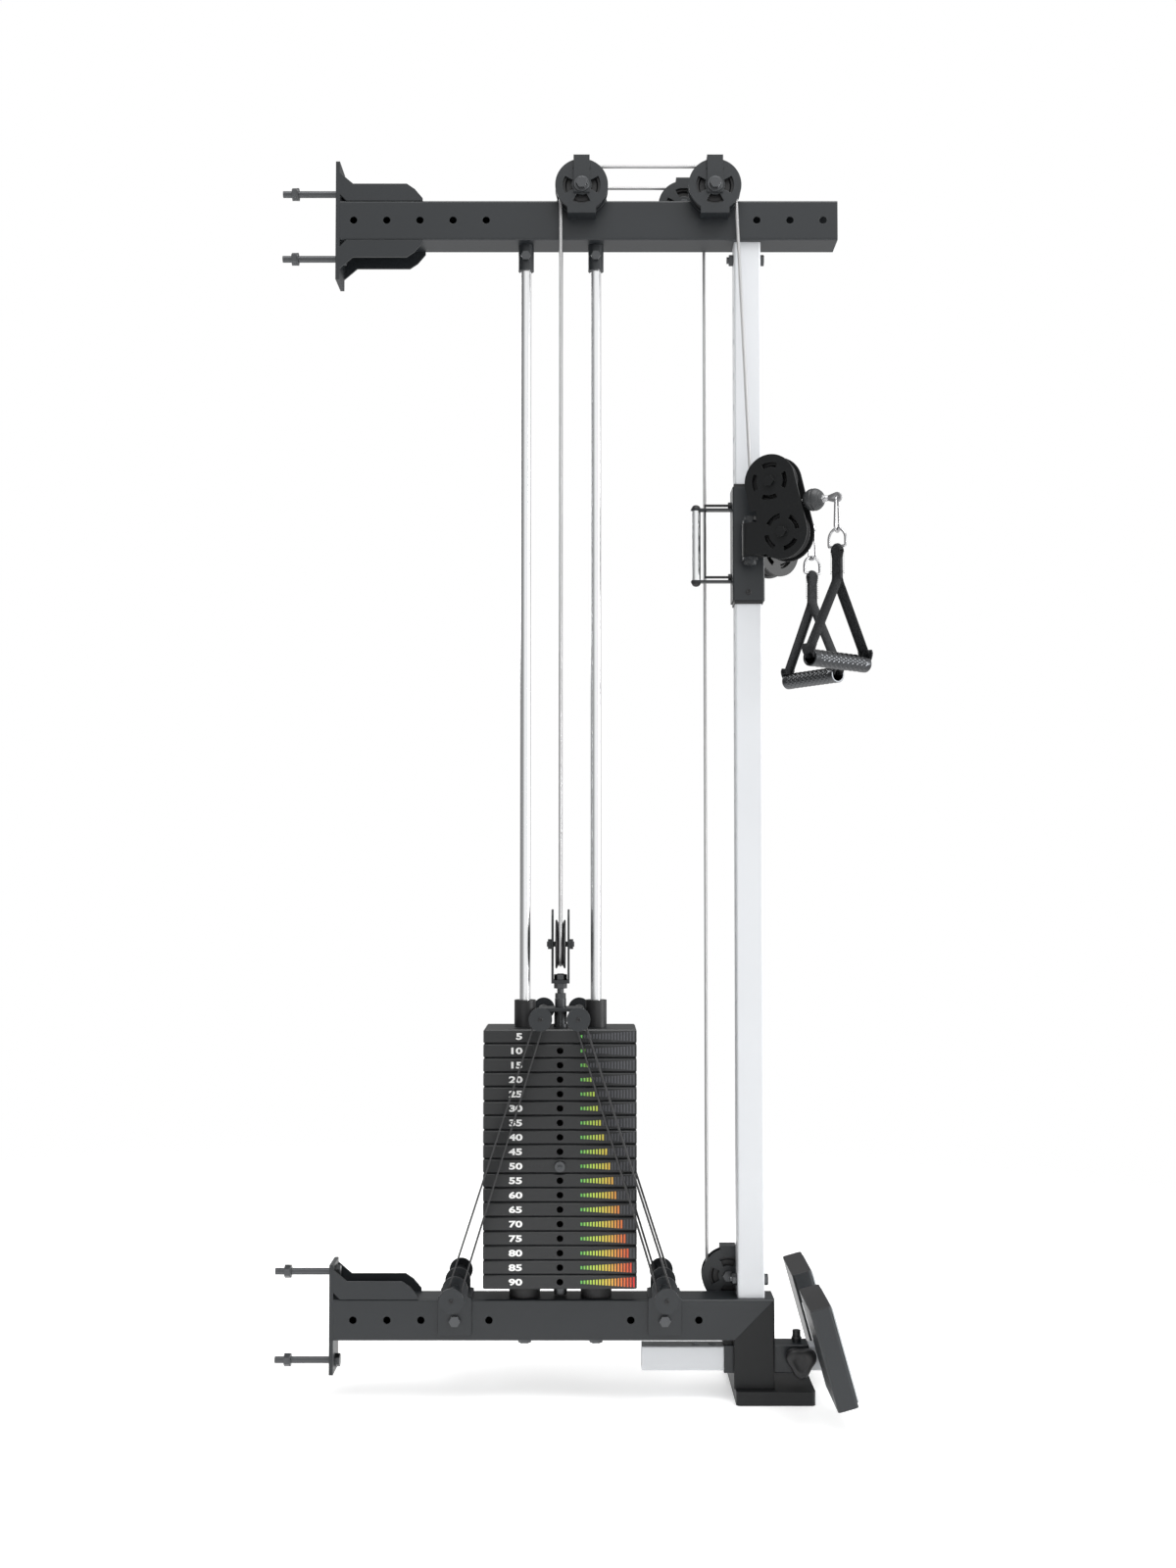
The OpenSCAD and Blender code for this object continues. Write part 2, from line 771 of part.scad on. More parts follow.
// Plate number i of a group that stands on z0; pinned plates have a selector hole
module stack_plate(z0, i, pinned) translate([stack_x, 0, z0 + i * plate_pitch]) difference() {
    plate_block();
    for (x = [-rod_gap / 2, rod_gap / 2]) translate([x, 0, -1])
        cylinder(d = rod_d + 2, h = plate_t + 2);
    translate([0, 0, -1]) cylinder(d = stem_d + 2, h = plate_t + 2);
    if (pinned) translate([0, 0, plate_t / 2]) along_y()
        cylinder(d = pin_d + 2 * run_gap, h = plate_d);
}

module resting_plates() color(plate_colour)
    for (i = [0:resting_n - 1]) stack_plate(stack_floor, i, true);

module lifted_plates() color(plate_colour)
    for (i = [0:lifted_n - 2]) stack_plate(resting_top, i, true);

module top_plate() color(plate_colour) stack_plate(resting_top, lifted_n - 1, false);

module rod_bushings() color(frame_colour) for (x = rod_xs)
    translate([x, 0, stack_top - plate_gap])
        ring(bushing_d, rod_d + 2 * run_gap, bushing_h);

// Stem through the stack, its collars, the threaded rod and its nuts
module selector_stem() color("#3a3d40") translate([stack_x, 0, 0]) {
    deck = stack_top - plate_gap;
    difference() {
        union() {
            translate([0, 0, half_beam + 2]) cylinder(d = stem_d, h = deck - half_beam - 2);
            translate([0, 0, deck]) cylinder(d = collar_d + 4, h = 4);
            translate([0, 0, deck]) cylinder(d = collar_d, h = crossbar_z - deck);
            translate([0, 0, deck]) cylinder(d = stem_rod_d,
                h = yoke_z + yoke_base_t + rack_nut_h + 1 - deck);
        }
        for (i = [0:resting_n + lifted_n - 2])
            translate([0, 0, stack_floor + plate_t / 2 + i * plate_pitch]) along_y()
                cylinder(d = pin_d + 2 * run_gap, h = stem_d + 2, center = true);
    }
    translate([0, 0, crossbar_z + crossbar_t]) ring(17, stem_rod_d, upper_collar_h);
    nut(14, crossbar_z + crossbar_t + upper_collar_h);
    nut(rack_hex, yoke_z - rack_nut_h);
    nut(rack_hex, yoke_z + yoke_base_t);
}

// Nut on the threaded rod
module nut(af, z) translate([0, 0, z]) difference() {
    hex(af, rack_nut_h);
    translate([0, 0, -1]) cylinder(d = stem_rod_d, h = rack_nut_h + 2);
}

module selector_pin() color("#8b9094")
    translate([stack_x, 0, pin_z]) along_y() {
        translate([0, 0, -pin_tip]) cylinder(d = pin_d, h = pin_tip + plate_d / 2 + 1);
        translate([0, 0, plate_d / 2 + loose_gap]) cylinder(d = pin_d + 6, h = 7);
    }

// Yoke of the stack pulley, with the wheel's bolt along x
module yoke() color(frame_colour) translate([stack_x, 0, 0]) {
    out = yoke_gap / 2 + yoke_t;
    hub = yoke_wheel_z - yoke_z;
    difference() {
        union() {
            translate([-out, -yoke_w / 2, yoke_z]) cube([2 * out, yoke_w, yoke_base_t]);
            for (x = [-out, out - yoke_t]) translate([x, 0, yoke_z]) rotate([90, 0, 90])
                linear_extrude(yoke_t) yoke_side_2d();
        }
        translate([0, 0, yoke_z - 1]) cylinder(d = stem_rod_d, h = yoke_base_t + 2);
        translate([0, 0, yoke_wheel_z]) along_x()
            cylinder(d = small_bolt_d, h = 3 * out, center = true);
    }
    translate([0, 0, yoke_z + hub]) along_x() {
        cylinder(d = small_bolt_d, h = 2 * out + 14, center = true);
        translate([0, 0, out]) hex(small_hex, small_head_h);
        translate([0, 0, -out - small_head_h]) hex(small_hex, small_head_h);
    }
}

module yoke_side_2d() {
    r = yoke_w / 2;
    translate([-r, 0]) square([yoke_w, yoke_h - r]);
    translate([0, yoke_h - r]) circle(r);
}

module yoke_pulley() color(rubber_colour) translate([stack_x, 0, yoke_wheel_z])
    along_x() wheel(small_bolt_d + 2 * run_gap);

// Peg along y through the middle plane, with a disc on each end
module peg(d, disc_d) along_y() {
    cylinder(d = d, h = 2 * peg_reach - 2, center = true);
    for (z = [-peg_reach, peg_reach - peg_disc_t]) translate([0, 0, z])
        cylinder(d = disc_d, h = peg_disc_t);
}

module band_crossbar() color(frame_colour) {
    for (x = top_peg_xs) translate([x, 0, peg_z]) peg(top_peg_d, top_disc_d);
    difference() {
        translate([stack_x, 0, crossbar_z]) linear_extrude(crossbar_t)
            round_rect(top_peg_gap + top_peg_d, crossbar_d, 4);
        translate([stack_x, 0, crossbar_z - 1]) cylinder(d = stem_rod_d, h = crossbar_t + 2);
        for (x = rod_xs) translate([x, 0, crossbar_z - 1])
            cylinder(d = bushing_d + 1, h = crossbar_t + 2);
    }
}

module band_brackets() color(frame_colour) for (x = low_peg_xs) translate([x, 0, 0]) {
    translate([0, 0, low_peg_z]) peg(low_peg_d, low_disc_d);
    difference() {
        union() {
            both_sides() translate([0, half_beam + bracket_t / 2, 0])
                sheet_xz(bracket_t) bracket_2d();
            translate([-bracket_w / 2, -half_beam, half_beam])
                cube([bracket_w, beam, bracket_t]);
        }
        along_y() cylinder(d = axle_d, h = 2 * beam, center = true);
    }
}

module bracket_2d() {
    r = 4;
    top = half_beam + bracket_t;
    translate([0, (top - bracket_drop) / 2]) round_rect(bracket_w, top + bracket_drop, r);
    translate([0, low_peg_z]) circle(bracket_neck_r);
    translate([-bracket_neck_r, half_beam - 10]) square([2 * bracket_neck_r, low_peg_z - 20]);
}

// One loop of rubber band round an upper and a lower peg
module band_loop(x_top, x_low) {
    top = [x_top, peg_z];
    low = [x_low, low_peg_z];
    r_top = top_peg_d / 2 + loose_gap;
    r_low = low_peg_d / 2 + loose_gap;
    sheet_xz(band_w) difference() {
        belt_2d(top, r_top + band_t, low, r_low + band_t);
        belt_2d(top, r_top, low, r_low);
    }
}

module resistance_bands() color(rubber_colour) for (i = [0, 1]) both_sides()
    translate([0, band_mid_y, 0]) band_loop(top_peg_xs[i], low_peg_xs[i]);

// Cable

// Cable round a wheel about the y axis, from angle a to angle b, +x towards +z
module wrap_y(a, b) along_y() rotate([0, 0, a]) rotate_extrude(angle = b - a)
    translate([cable_r, 0]) circle(d = cable_d);

module wrap_x(a, b) rotate([90, 0, 90]) rotate([0, 0, a]) rotate_extrude(angle = b - a)
    translate([cable_r, 0]) circle(d = cable_d);

module fixed_cable() color(cable_colour) {
    for (end = [[-cable_y, front_column_x], [cable_y, rear_column_x]]) {
        translate([stack_pulley_x, end[0], pulley_z]) wrap_y(90, 180);
        translate([end[1], end[0], pulley_z]) wrap_y(0, 90);
        rod_between([stack_pulley_x, end[0], pulley_z + cable_r],
            [end[1], end[0], pulley_z + cable_r], cable_d);
    }
    fall_x = low_pulley_x - cable_r;
    rod_between([fall_x, cable_y, low_pulley_z], [rear_column_x + cable_r, cable_y, pulley_z],
        cable_d);
    translate([low_pulley_x, cable_y, low_pulley_z]) wrap_y(180, 360);
}

module cable_stack_loop() color(cable_colour) {
    both_sides() rod_between([stack_x, cable_r, yoke_wheel_z + loose_gap],
        [stack_x, cable_y, pulley_z - loose_gap], cable_d);
    translate([stack_x, 0, yoke_wheel_z]) wrap_x(180, 360);
}

module front_cable_drop() color(cable_colour)
    rod_between([upright_x, -hinge_y, upper_wheel_z + drop_end_up + 3 * loose_gap],
        [front_column_x + cable_r, -cable_y, pulley_z - loose_gap], cable_d);

// The rear cable passes beside the hinge pin, where the lower wheel takes it
rise_u = lower_wheel_u - cable_r;
rise_end_z = arm_z - arm_h / 2 - lug_t - 12;

module rear_cable_rise() color(cable_colour)
    rod_between([low_pulley_x + cable_r, cable_y, low_pulley_z + loose_gap],
        [upright_x + rise_u * cos(rear_angle), hinge_y + rise_u * sin(rear_angle),
            rise_end_z], cable_d);

// Carriage

module at_front_hinge() translate([upright_x, -hinge_y, 0]) rotate([0, 0, -front_angle])
    children();
module at_rear_hinge() translate([upright_x, hinge_y, 0]) rotate([0, 0, rear_angle])
    children();

lug_zs = [arm_z - arm_h / 2 - lug_gap - lug_t, arm_z + arm_h / 2 + lug_gap];

// Lugs of one hinge, from the sleeve's face towards -y
module lugs() difference() {
    for (z = lug_zs) {
        translate([upright_x, -hinge_y, z]) cylinder(d = lug_w, h = lug_t);
        translate([upright_x - lug_w / 2, -hinge_y, z])
            cube([lug_w, hinge_y - sleeve_y / 2 + 1, lug_t]);
    }
    translate([upright_x, -hinge_y, lug_zs[0] - 1])
        cylinder(d = hinge_pin_d, h = arm_h + 4 * lug_t);
}

module hinge_pin() translate([upright_x, -hinge_y, 0]) {
    translate([0, 0, lug_zs[0] - axle_head_h - 1])
        cylinder(d = hinge_pin_d, h = lug_zs[1] - lug_zs[0] + lug_t + axle_head_h + 2);
    translate([0, 0, lug_zs[0] - axle_head_h]) hex(axle_hex, axle_head_h);
    translate([0, 0, lug_zs[1] + lug_t]) hex(axle_hex, axle_head_h);
}

module carriage_sleeve() color(frame_colour) {
    difference() {
        translate([upright_x, 0, carriage_z - sleeve_h / 2]) linear_extrude(sleeve_h) difference() {
            round_rect(sleeve_x, sleeve_y, 3);
            square([sleeve_in_x, sleeve_in_y], center = true);
        }
        for (z = handle_zs) translate([sleeve_face - 1, 0, z + lever_lift]) along_x()
            cylinder(d = lever_pin_d + 2 * run_gap, h = sleeve_wall + 2);
    }
    both_sides() lugs();
    both_sides() hinge_pin();
}

module sleeve_liners() color(rubber_colour) {
    lip = sleeve_h / 2 + liner_lip;
    for (end = [-1, 1]) difference() {
        translate([upright_x, 0, carriage_z + end * (lip - 20)]) linear_extrude(40, center = true)
            difference() {
                square([sleeve_in_x, sleeve_in_y], center = true);
                square([upright + 2 * slide_gap, upright + 2 * slide_gap], center = true);
            }
        for (z = handle_zs) translate([sleeve_face - 1, 0, z + lever_lift]) along_x()
            cylinder(d = lever_pin_d + 1, h = sleeve_x / 2);
    }
}

module handle_brackets() color(frame_colour) {
    reach = sleeve_face - grip_x;
    for (i = [0, 1]) difference() {
        translate([grip_x, 0, handle_zs[i]]) linear_extrude(bracket_plate_t, center = true) {
            translate([0, -bracket_plate_w / 2]) square([reach, bracket_plate_w]);
            circle(d = bracket_plate_w);
        }
        translate([grip_x, 0, handle_zs[i]]) cylinder(d = small_bolt_d, h = 9, center = true);
        if (i == 1) translate([lever_x - lever_travel - 1.5, -lever_slot_w / 2, handle_zs[i] - 5])
            cube([lever_travel + lever_t + 3, lever_slot_w, 10]);
    }
}

module carriage_grip() color(chrome_colour) translate([grip_x, 0, 0]) {
    low = handle_zs[0] + bracket_plate_t / 2;
    high = handle_zs[1] - bracket_plate_t / 2;
    difference() {
        translate([0, 0, low]) cylinder(d = grip_tube_d, h = high - low);
        translate([0, 0, low - 1]) cylinder(d = small_bolt_d, h = high - low + 2);
    }
    cap = bracket_plate_t;
    translate([0, 0, low - cap]) cylinder(d = small_bolt_d, h = high - low + 2 * cap);
    for (end = [[low - cap, -1], [high + cap, 1]]) translate([0, 0, end[0]]) intersection() {
        sphere(d = grip_tube_d - 2);
        translate([-10, -10, end[1] < 0 ? -5 : 0]) cube([20, 20, 5]);
    }
}

// Strip beside the grip, with a bar and a lock pin at each end
module release_lever() color(rubber_colour) {
    low = handle_zs[0] + lever_lift - lever_bar_t / 2;
    high = handle_zs[1] + lever_lift + lever_bar_t / 2;
    translate([lever_x, -lever_bar_w / 2, low]) cube([lever_t, lever_bar_w, high - low]);
    for (z = handle_zs) translate([0, 0, z + lever_lift]) {
        translate([lever_x, -lever_bar_w / 2, -lever_bar_t / 2])
            cube([sleeve_face - lever_travel - lever_x, lever_bar_w, lever_bar_t]);
        translate([sleeve_face - lever_travel, 0, 0]) along_x()
            cylinder(d = lever_pin_d,
                h = upright_x - upright_half - loose_gap - sleeve_face + lever_travel);
    }
}

// Cable housings, in the frame of the hinge

module housing_side_2d() difference() {
    union() {
        belt_2d([upper_wheel_u, upper_wheel_z], lobe_r, [lower_wheel_u, lower_wheel_z], lobe_r);
        translate([0, arm_z - arm_h / 2]) square([lower_wheel_u, arm_h]);
    }
    translate([upper_wheel_u, upper_wheel_z]) housing_slots(0);
    translate([lower_wheel_u, lower_wheel_z]) housing_slots(lower_slot_turn);
    translate([-lobe_r, arm_z + arm_h / 2]) square([lobe_r + notch_u, 16]);
}

module housing_slots(turn) for (i = [0:3])
    window_2d(slot_in, slot_out, slot_half, turn + 90 * i);

module housing() {
    difference() {
        union() {
            for (y = [-1, 1]) translate([0, y * (housing_half - guard_t / 2), 0])
                sheet_xz(guard_t) housing_side_2d();
            translate([0, 0, arm_z - arm_h / 2]) cylinder(d = barrel_d, h = arm_h);
            translate([0, -housing_half, arm_z - arm_h / 2])
                cube([cheek_u, 2 * housing_half, arm_h]);
        }
        translate([0, 0, arm_z - arm_h]) cylinder(d = hinge_pin_d + 2 * run_gap, h = 2 * arm_h);
        for (c = wheel_centres) translate([c[0], 0, c[1]]) along_y()
            cylinder(d = axle_d, h = 4 * housing_half, center = true);
    }
    for (c = wheel_centres) translate([c[0], 0, c[1]]) along_y() {
        cylinder(d = axle_d, h = 2 * housing_half + 10, center = true);
        translate([0, 0, housing_half]) hex(axle_hex, 5);
        translate([0, 0, -housing_half - 5]) hex(axle_hex, 5);
    }
}

wheel_centres = [[upper_wheel_u, upper_wheel_z], [lower_wheel_u, lower_wheel_z]];

module front_housing() color(frame_colour) at_front_hinge() housing();
module rear_housing() color(frame_colour) at_rear_hinge() housing();

module housing_wheel(i) color(rubber_colour)
    translate([wheel_centres[i][0], 0, wheel_centres[i][1]]) wheel_y();

module front_upper_wheel() at_front_hinge() housing_wheel(0);
module front_lower_wheel() at_front_hinge() housing_wheel(1);
module rear_upper_wheel() at_rear_hinge() housing_wheel(0);
module rear_lower_wheel() at_rear_hinge() housing_wheel(1);

// Ball stop with its ferrule and the flat tang that the clip hangs in
module ball_stop() {
    neck = eye_u - tang_back - tang_root_r + 1 - ball_u;
    translate([ball_u, 0, exit_z]) along_x() rotate_extrude() {
        intersection() {
            circle(d = ball_d);
            translate([0, -ball_d]) square([ball_d, 2 * ball_d]);
        }
        square([ferrule_d / 2, neck]);
    }
    difference() {
        translate([eye_u, 0, exit_z]) sheet_xz(tang_t)
            belt_2d([-tang_back, 0], tang_root_r, [0, 0], tang_r);
        translate([eye_u, 0, exit_z]) along_y() cylinder(d = tang_hole_d, h = 9, center = true);
    }
}

// The front cable comes down the hinge's axis and slants to the upper wheel
module front_cable_end() color(cable_colour) at_front_hinge() {
    drop = [-upper_wheel_u, drop_end_up];
    meet = atan2(drop[1], drop[0]) + acos(cable_r / norm(drop));
    start = [0, 0, upper_wheel_z + drop_end_up];
    slant = [upper_wheel_u + cable_r * cos(meet), 0, upper_wheel_z + cable_r * sin(meet)] - start;
    rod_between(start, start + slant - run_gap * slant / norm(slant), cable_d);
    translate([upper_wheel_u, 0, upper_wheel_z]) wrap_y(meet, 270);
    rod_between([upper_wheel_u + run_gap, 0, exit_z], [ball_u - ball_d / 2 + 0.5, 0, exit_z],
        cable_d);
    ball_stop();
}

// The rear cable rises past the lower wheel's side and leaves over its top
module rear_cable_end() color(cable_colour) at_rear_hinge() {
    run = ball_u - lower_wheel_u;
    climb = exit_z - lower_wheel_z;
    leave = atan2(climb, run) + acos(cable_r / norm([run, climb]));
    off = [lower_wheel_u + cable_r * cos(leave), 0, lower_wheel_z + cable_r * sin(leave)];
    translate([rise_u, 0, rise_end_z + loose_gap])
        cylinder(d = cable_d, h = lower_wheel_z - rise_end_z - loose_gap - run_gap);
    translate([lower_wheel_u, 0, lower_wheel_z]) wrap_y(leave, 180);
    to_ball = [ball_u, 0, exit_z] - off;
    line = to_ball / norm(to_ball);
    rod_between(off + run_gap * line, [ball_u, 0, exit_z] - (ball_d / 2 + run_gap) * line, cable_d);
    ball_stop();
}

// Handles, hanging from the eye of the tang

module at_front_eye(turn) translate([upright_x + eye_u * cos(front_angle),
    -hinge_y - eye_u * sin(front_angle), exit_z]) rotate([0, 0, turn]) children();
module at_rear_eye(turn) translate([upright_x + eye_u * cos(rear_angle),
    hinge_y + eye_u * sin(rear_angle), exit_z]) rotate([0, 0, turn]) children();

// Wire along a half circle of radius r over the top (side 1) or bottom (side -1)
module wire_arc(r, side) rotate([side > 0 ? 90 : -90, 0, 0]) rotate_extrude(angle = 180)
    translate([r, 0]) circle(d = clip_wire_d);

// Snap link in the x-z plane, its top wire through the eye at the origin
module snap_link() {
    translate([0, 0, -clip_arc]) wire_arc(clip_arc, 1);
    translate([0, 0, clip_arc - clip_len]) wire_arc(clip_arc, -1);
    for (x = [-clip_arc, clip_arc]) translate([x, 0, clip_arc - clip_len])
        cylinder(d = clip_wire_d, h = clip_len - 2 * clip_arc);
}

// D ring in the x-z plane, hanging in the link's lower end
module d_ring() {
    translate([0, 0, -ring_top - ring_half]) wire_arc(ring_half, 1);
    for (x = [-ring_half, ring_half]) {
        translate([x, 0, -ring_bar]) cylinder(d = clip_wire_d, h = ring_bar - ring_top - ring_half);
        translate([x, 0, -ring_bar]) sphere(d = clip_wire_d);
    }
    translate([-ring_half, 0, -ring_bar]) along_x() cylinder(d = clip_wire_d, h = 2 * ring_half);
}

// Strap in the frame of the grip: x along the grip
module strap() {
    half = grip_len / 2;
    loop_d = clip_wire_d + 2 * loose_gap;
    core_d = grip_d - 2 * grip_wall - 2 * loose_gap;
    bend_z = -handle_drop + grip_d / 2 + 4;
    out = half + strap_out;
    difference() {
        union() {
            translate([0, 0, -ring_bar]) along_y()
                cylinder(d = loop_d + 2 * strap_t, h = strap_w, center = true);
            translate([0, 0, -(ring_bar + sewn_end) / 2])
                cube([2 * strap_t, strap_w, sewn_end - ring_bar], center = true);
            sheet_xz(strap_w) for (s = [-1, 1]) polygon([[0, -sewn_end + 4], [s * out, bend_z],
                [s * out, -handle_drop - core_d / 2], [s * (out - strap_t),
                -handle_drop - core_d / 2], [s * (out - strap_t), bend_z - 0.5],
                [0, -sewn_end - 1]]);
        }
        translate([0, 0, -ring_bar]) along_y()
            cylinder(d = loop_d, h = strap_w + 2, center = true);
    }
    translate([-out + 1, 0, -handle_drop]) along_x() cylinder(d = core_d, h = 2 * out - 2);
}

module grip() translate([-grip_len / 2, 0, -handle_drop]) along_x()
    ring(grip_d, grip_d - 2 * grip_wall, grip_len);

module front_clip() color(chrome_colour) {
    at_front_eye(90 - front_angle) snap_link();
    at_front_eye(front_grip_turn + 90) d_ring();
}
module rear_clip() color(chrome_colour) {
    at_rear_eye(90 + rear_angle) snap_link();
    at_rear_eye(rear_grip_turn + 90) d_ring();
}
module front_strap() color(rubber_colour) at_front_eye(front_grip_turn) strap();
module rear_strap() color(rubber_colour) at_rear_eye(rear_grip_turn) strap();
module front_grip() color(chrome_colour) at_front_eye(front_grip_turn) grip();
module rear_grip() color(chrome_colour) at_rear_eye(rear_grip_turn) grip();

// Foot rest

slide_top = foot_z + slide_tube / 2;
sleeve_top = foot_z + foot_outer / 2;

module foot_sleeve() color(frame_colour) difference() {
    union() {
        translate([foot_sleeve_start, 0, foot_z]) along_x()
            square_tube(foot_outer, foot_sleeve_wall, foot_sleeve_end - foot_sleeve_start, 2);
        translate([knob_x, -foot_outer / 2 + 1, foot_z]) along_y()
            cylinder(d = knob_lobe_d, h = knob_boss_t + 1);
        translate([pop_x, 0, sleeve_top - 1]) cylinder(d = 14, h = 5);
    }
    translate([knob_x, 0, foot_z]) along_y()
        cylinder(d = knob_shank_d + 2 * run_gap, h = foot_outer);
    translate([pop_x, 0, foot_z]) cylinder(d = pop_hole_d + 2 * run_gap, h = foot_outer);
}

// Frame of the foot plates: x through the plate, z up its slope
module at_foot_plate() translate([foot_plate_x, 0, foot_plate_z])
    rotate([0, -foot_lean, 0]) children();

module foot_tube() color(light_colour) difference() {
    union() {
        translate([slide_start, 0, foot_z]) along_x()
            square_tube(slide_tube, slide_wall, slide_len, 2);
        at_foot_plate() translate([0, 0, -foot_bar_drop])
            cube([foot_bar_t, 2 * foot_plate_y, foot_bar_h], center = true);
    }
    for (i = [0:5]) translate([pop_x - (i + 1) * slide_hole_pitch, 0, foot_z])
        cylinder(d = pop_hole_d + 4, h = slide_tube);
}

// Foot plates: upright tubes of oblong section, closed by a cap at either end
module foot_plates() color(frame_colour) at_foot_plate() both_sides()
    translate([0, foot_plate_y + foot_plate_w / 2, -foot_plate_h / 2]) {
        translate([0, 0, cap_t]) linear_extrude(foot_plate_h - 2 * cap_t) difference() {
            round_rect(foot_plate_t, foot_plate_w, 5);
            round_rect(foot_plate_t - 2 * plate_wall, foot_plate_w - 2 * plate_wall, 2);
        }
        for (z = [0, foot_plate_h - cap_t]) translate([0, 0, z]) linear_extrude(cap_t)
            round_rect(foot_plate_t, foot_plate_w, 5);
    }

module foot_treads() color("#c4c9cd") at_foot_plate() both_sides()
    translate([foot_plate_t / 2, foot_plate_y + foot_plate_w / 2, 0]) along_x()
        linear_extrude(tread_t) round_rect(foot_plate_h - 10, foot_plate_w - 4, 6);

// Knob with three lobes on a clamping screw
module clamp_knob() color(rubber_colour) translate([knob_x, 0, foot_z]) along_y() {
    base = foot_outer / 2 + knob_boss_t + loose_gap;
    tip = slide_tube / 2 + loose_gap;
    translate([0, 0, tip]) cylinder(d = knob_shank_d, h = base - tip + 1);
    intersection() {
        translate([0, 0, base]) linear_extrude(knob_h) {
            for (i = [0:2]) rotate(90 + 120 * i) translate([9, 0]) circle(d = knob_lobe_d);
        }
        translate([0, 0, base + knob_h - 30]) sphere(r = 30);
    }
}

module pop_pin() color(rubber_colour) translate([pop_x, 0, 0]) {
    boss_top = sleeve_top + 4;
    translate([0, 0, slide_top + loose_gap])
        cylinder(d = pop_hole_d, h = boss_top - slide_top + 1);
    translate([0, 0, boss_top + loose_gap]) cylinder(d = 12, h = 13);
    translate([0, 0, boss_top + loose_gap]) cylinder(d = 15, h = 3);
}

upper_beam();
upper_rack_flange();
lower_beam();
foot_leg();
foot_pad();
lower_rack_flange();
upright();
rack_bolts();
guide_rods();
rod_sockets();
frame_bolts();
stack_bumpers();
front_pulley_guards();
rear_pulley_guards();
pulley_bolts();
resting_plates();
band_brackets();
foot_sleeve();
fixed_cable();
cable_stack_loop();
resistance_bands();
front_cable_drop();
rear_cable_rise();
front_stack_pulley();
front_column_pulley();
rear_stack_pulley();
rear_column_pulley();
low_pulley();
top_plate();
lifted_plates();
selector_stem();
rod_bushings();
yoke();
band_crossbar();
yoke_pulley();
selector_pin();
carriage_sleeve();
sleeve_liners();
handle_brackets();
carriage_grip();
release_lever();
front_housing();
front_upper_wheel();
front_lower_wheel();
front_cable_end();
rear_housing();
rear_upper_wheel();
rear_lower_wheel();
rear_cable_end();
front_clip();
front_strap();
front_grip();
rear_clip();
rear_strap();
rear_grip();
foot_tube();
foot_plates();
foot_treads();
clamp_knob();
pop_pin();
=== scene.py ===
import math

import bpy
from mathutils import Matrix, Vector


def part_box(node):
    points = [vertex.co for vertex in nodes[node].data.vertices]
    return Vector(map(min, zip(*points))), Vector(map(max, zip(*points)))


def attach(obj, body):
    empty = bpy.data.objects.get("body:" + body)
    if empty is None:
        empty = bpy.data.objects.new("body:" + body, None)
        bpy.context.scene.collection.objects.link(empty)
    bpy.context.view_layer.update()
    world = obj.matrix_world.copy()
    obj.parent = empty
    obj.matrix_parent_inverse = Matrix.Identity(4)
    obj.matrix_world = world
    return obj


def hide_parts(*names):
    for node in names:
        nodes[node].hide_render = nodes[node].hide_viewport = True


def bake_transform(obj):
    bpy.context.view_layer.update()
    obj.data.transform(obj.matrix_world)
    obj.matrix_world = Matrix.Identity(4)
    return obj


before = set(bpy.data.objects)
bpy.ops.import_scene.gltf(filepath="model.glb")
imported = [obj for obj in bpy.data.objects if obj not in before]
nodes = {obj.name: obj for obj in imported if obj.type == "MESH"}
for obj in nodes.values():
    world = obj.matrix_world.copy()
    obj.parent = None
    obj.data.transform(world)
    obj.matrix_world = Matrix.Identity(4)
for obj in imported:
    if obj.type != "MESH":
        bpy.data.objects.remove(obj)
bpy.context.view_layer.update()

# Camera and floor. The camera stands where the photograph was taken from, a little below the
# middle of the column. The floor is matt white and fades out before its edges are in view.
floor_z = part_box("foot_pad")[0].z
camera_place = (0.3806, -2.798, 0.667)
camera_tilt = math.radians(92.52)
camera_lens = 42.75
floor_half = 4.0
fade_from, fade_to = 0.9, 2.6

camera_data = bpy.data.cameras.new("camera")
camera_data.lens = camera_lens
camera = bpy.data.objects.new("camera", camera_data)
camera.location = camera_place
camera.rotation_euler = (camera_tilt, 0, 0)
bpy.context.scene.collection.objects.link(camera)
bpy.context.scene.camera = camera
bpy.context.scene.view_settings.view_transform = "Standard"


def chain(tree, operation, *values, kind="ShaderNodeMath"):
    """A math node whose inputs are numbers or links."""
    step = tree.nodes.new(kind)
    step.operation = operation
    for place, value in zip(step.inputs, values):
        if isinstance(value, (int, float, tuple)):
            place.default_value = value
        else:
            tree.links.new(value, place)
    return step.outputs["Value"]


def ranged(tree, value, from_min, from_max, to_min, to_max, way="LINEAR"):
    """The value taken from one range to another and held at the ends."""
    step = tree.nodes.new("ShaderNodeMapRange")
    step.interpolation_type = way
    for name, number in (("From Min", from_min), ("From Max", from_max),
                         ("To Min", to_min), ("To Max", to_max)):
        step.inputs[name].default_value = number
    tree.links.new(value, step.inputs["Value"])
    return step.outputs["Result"]


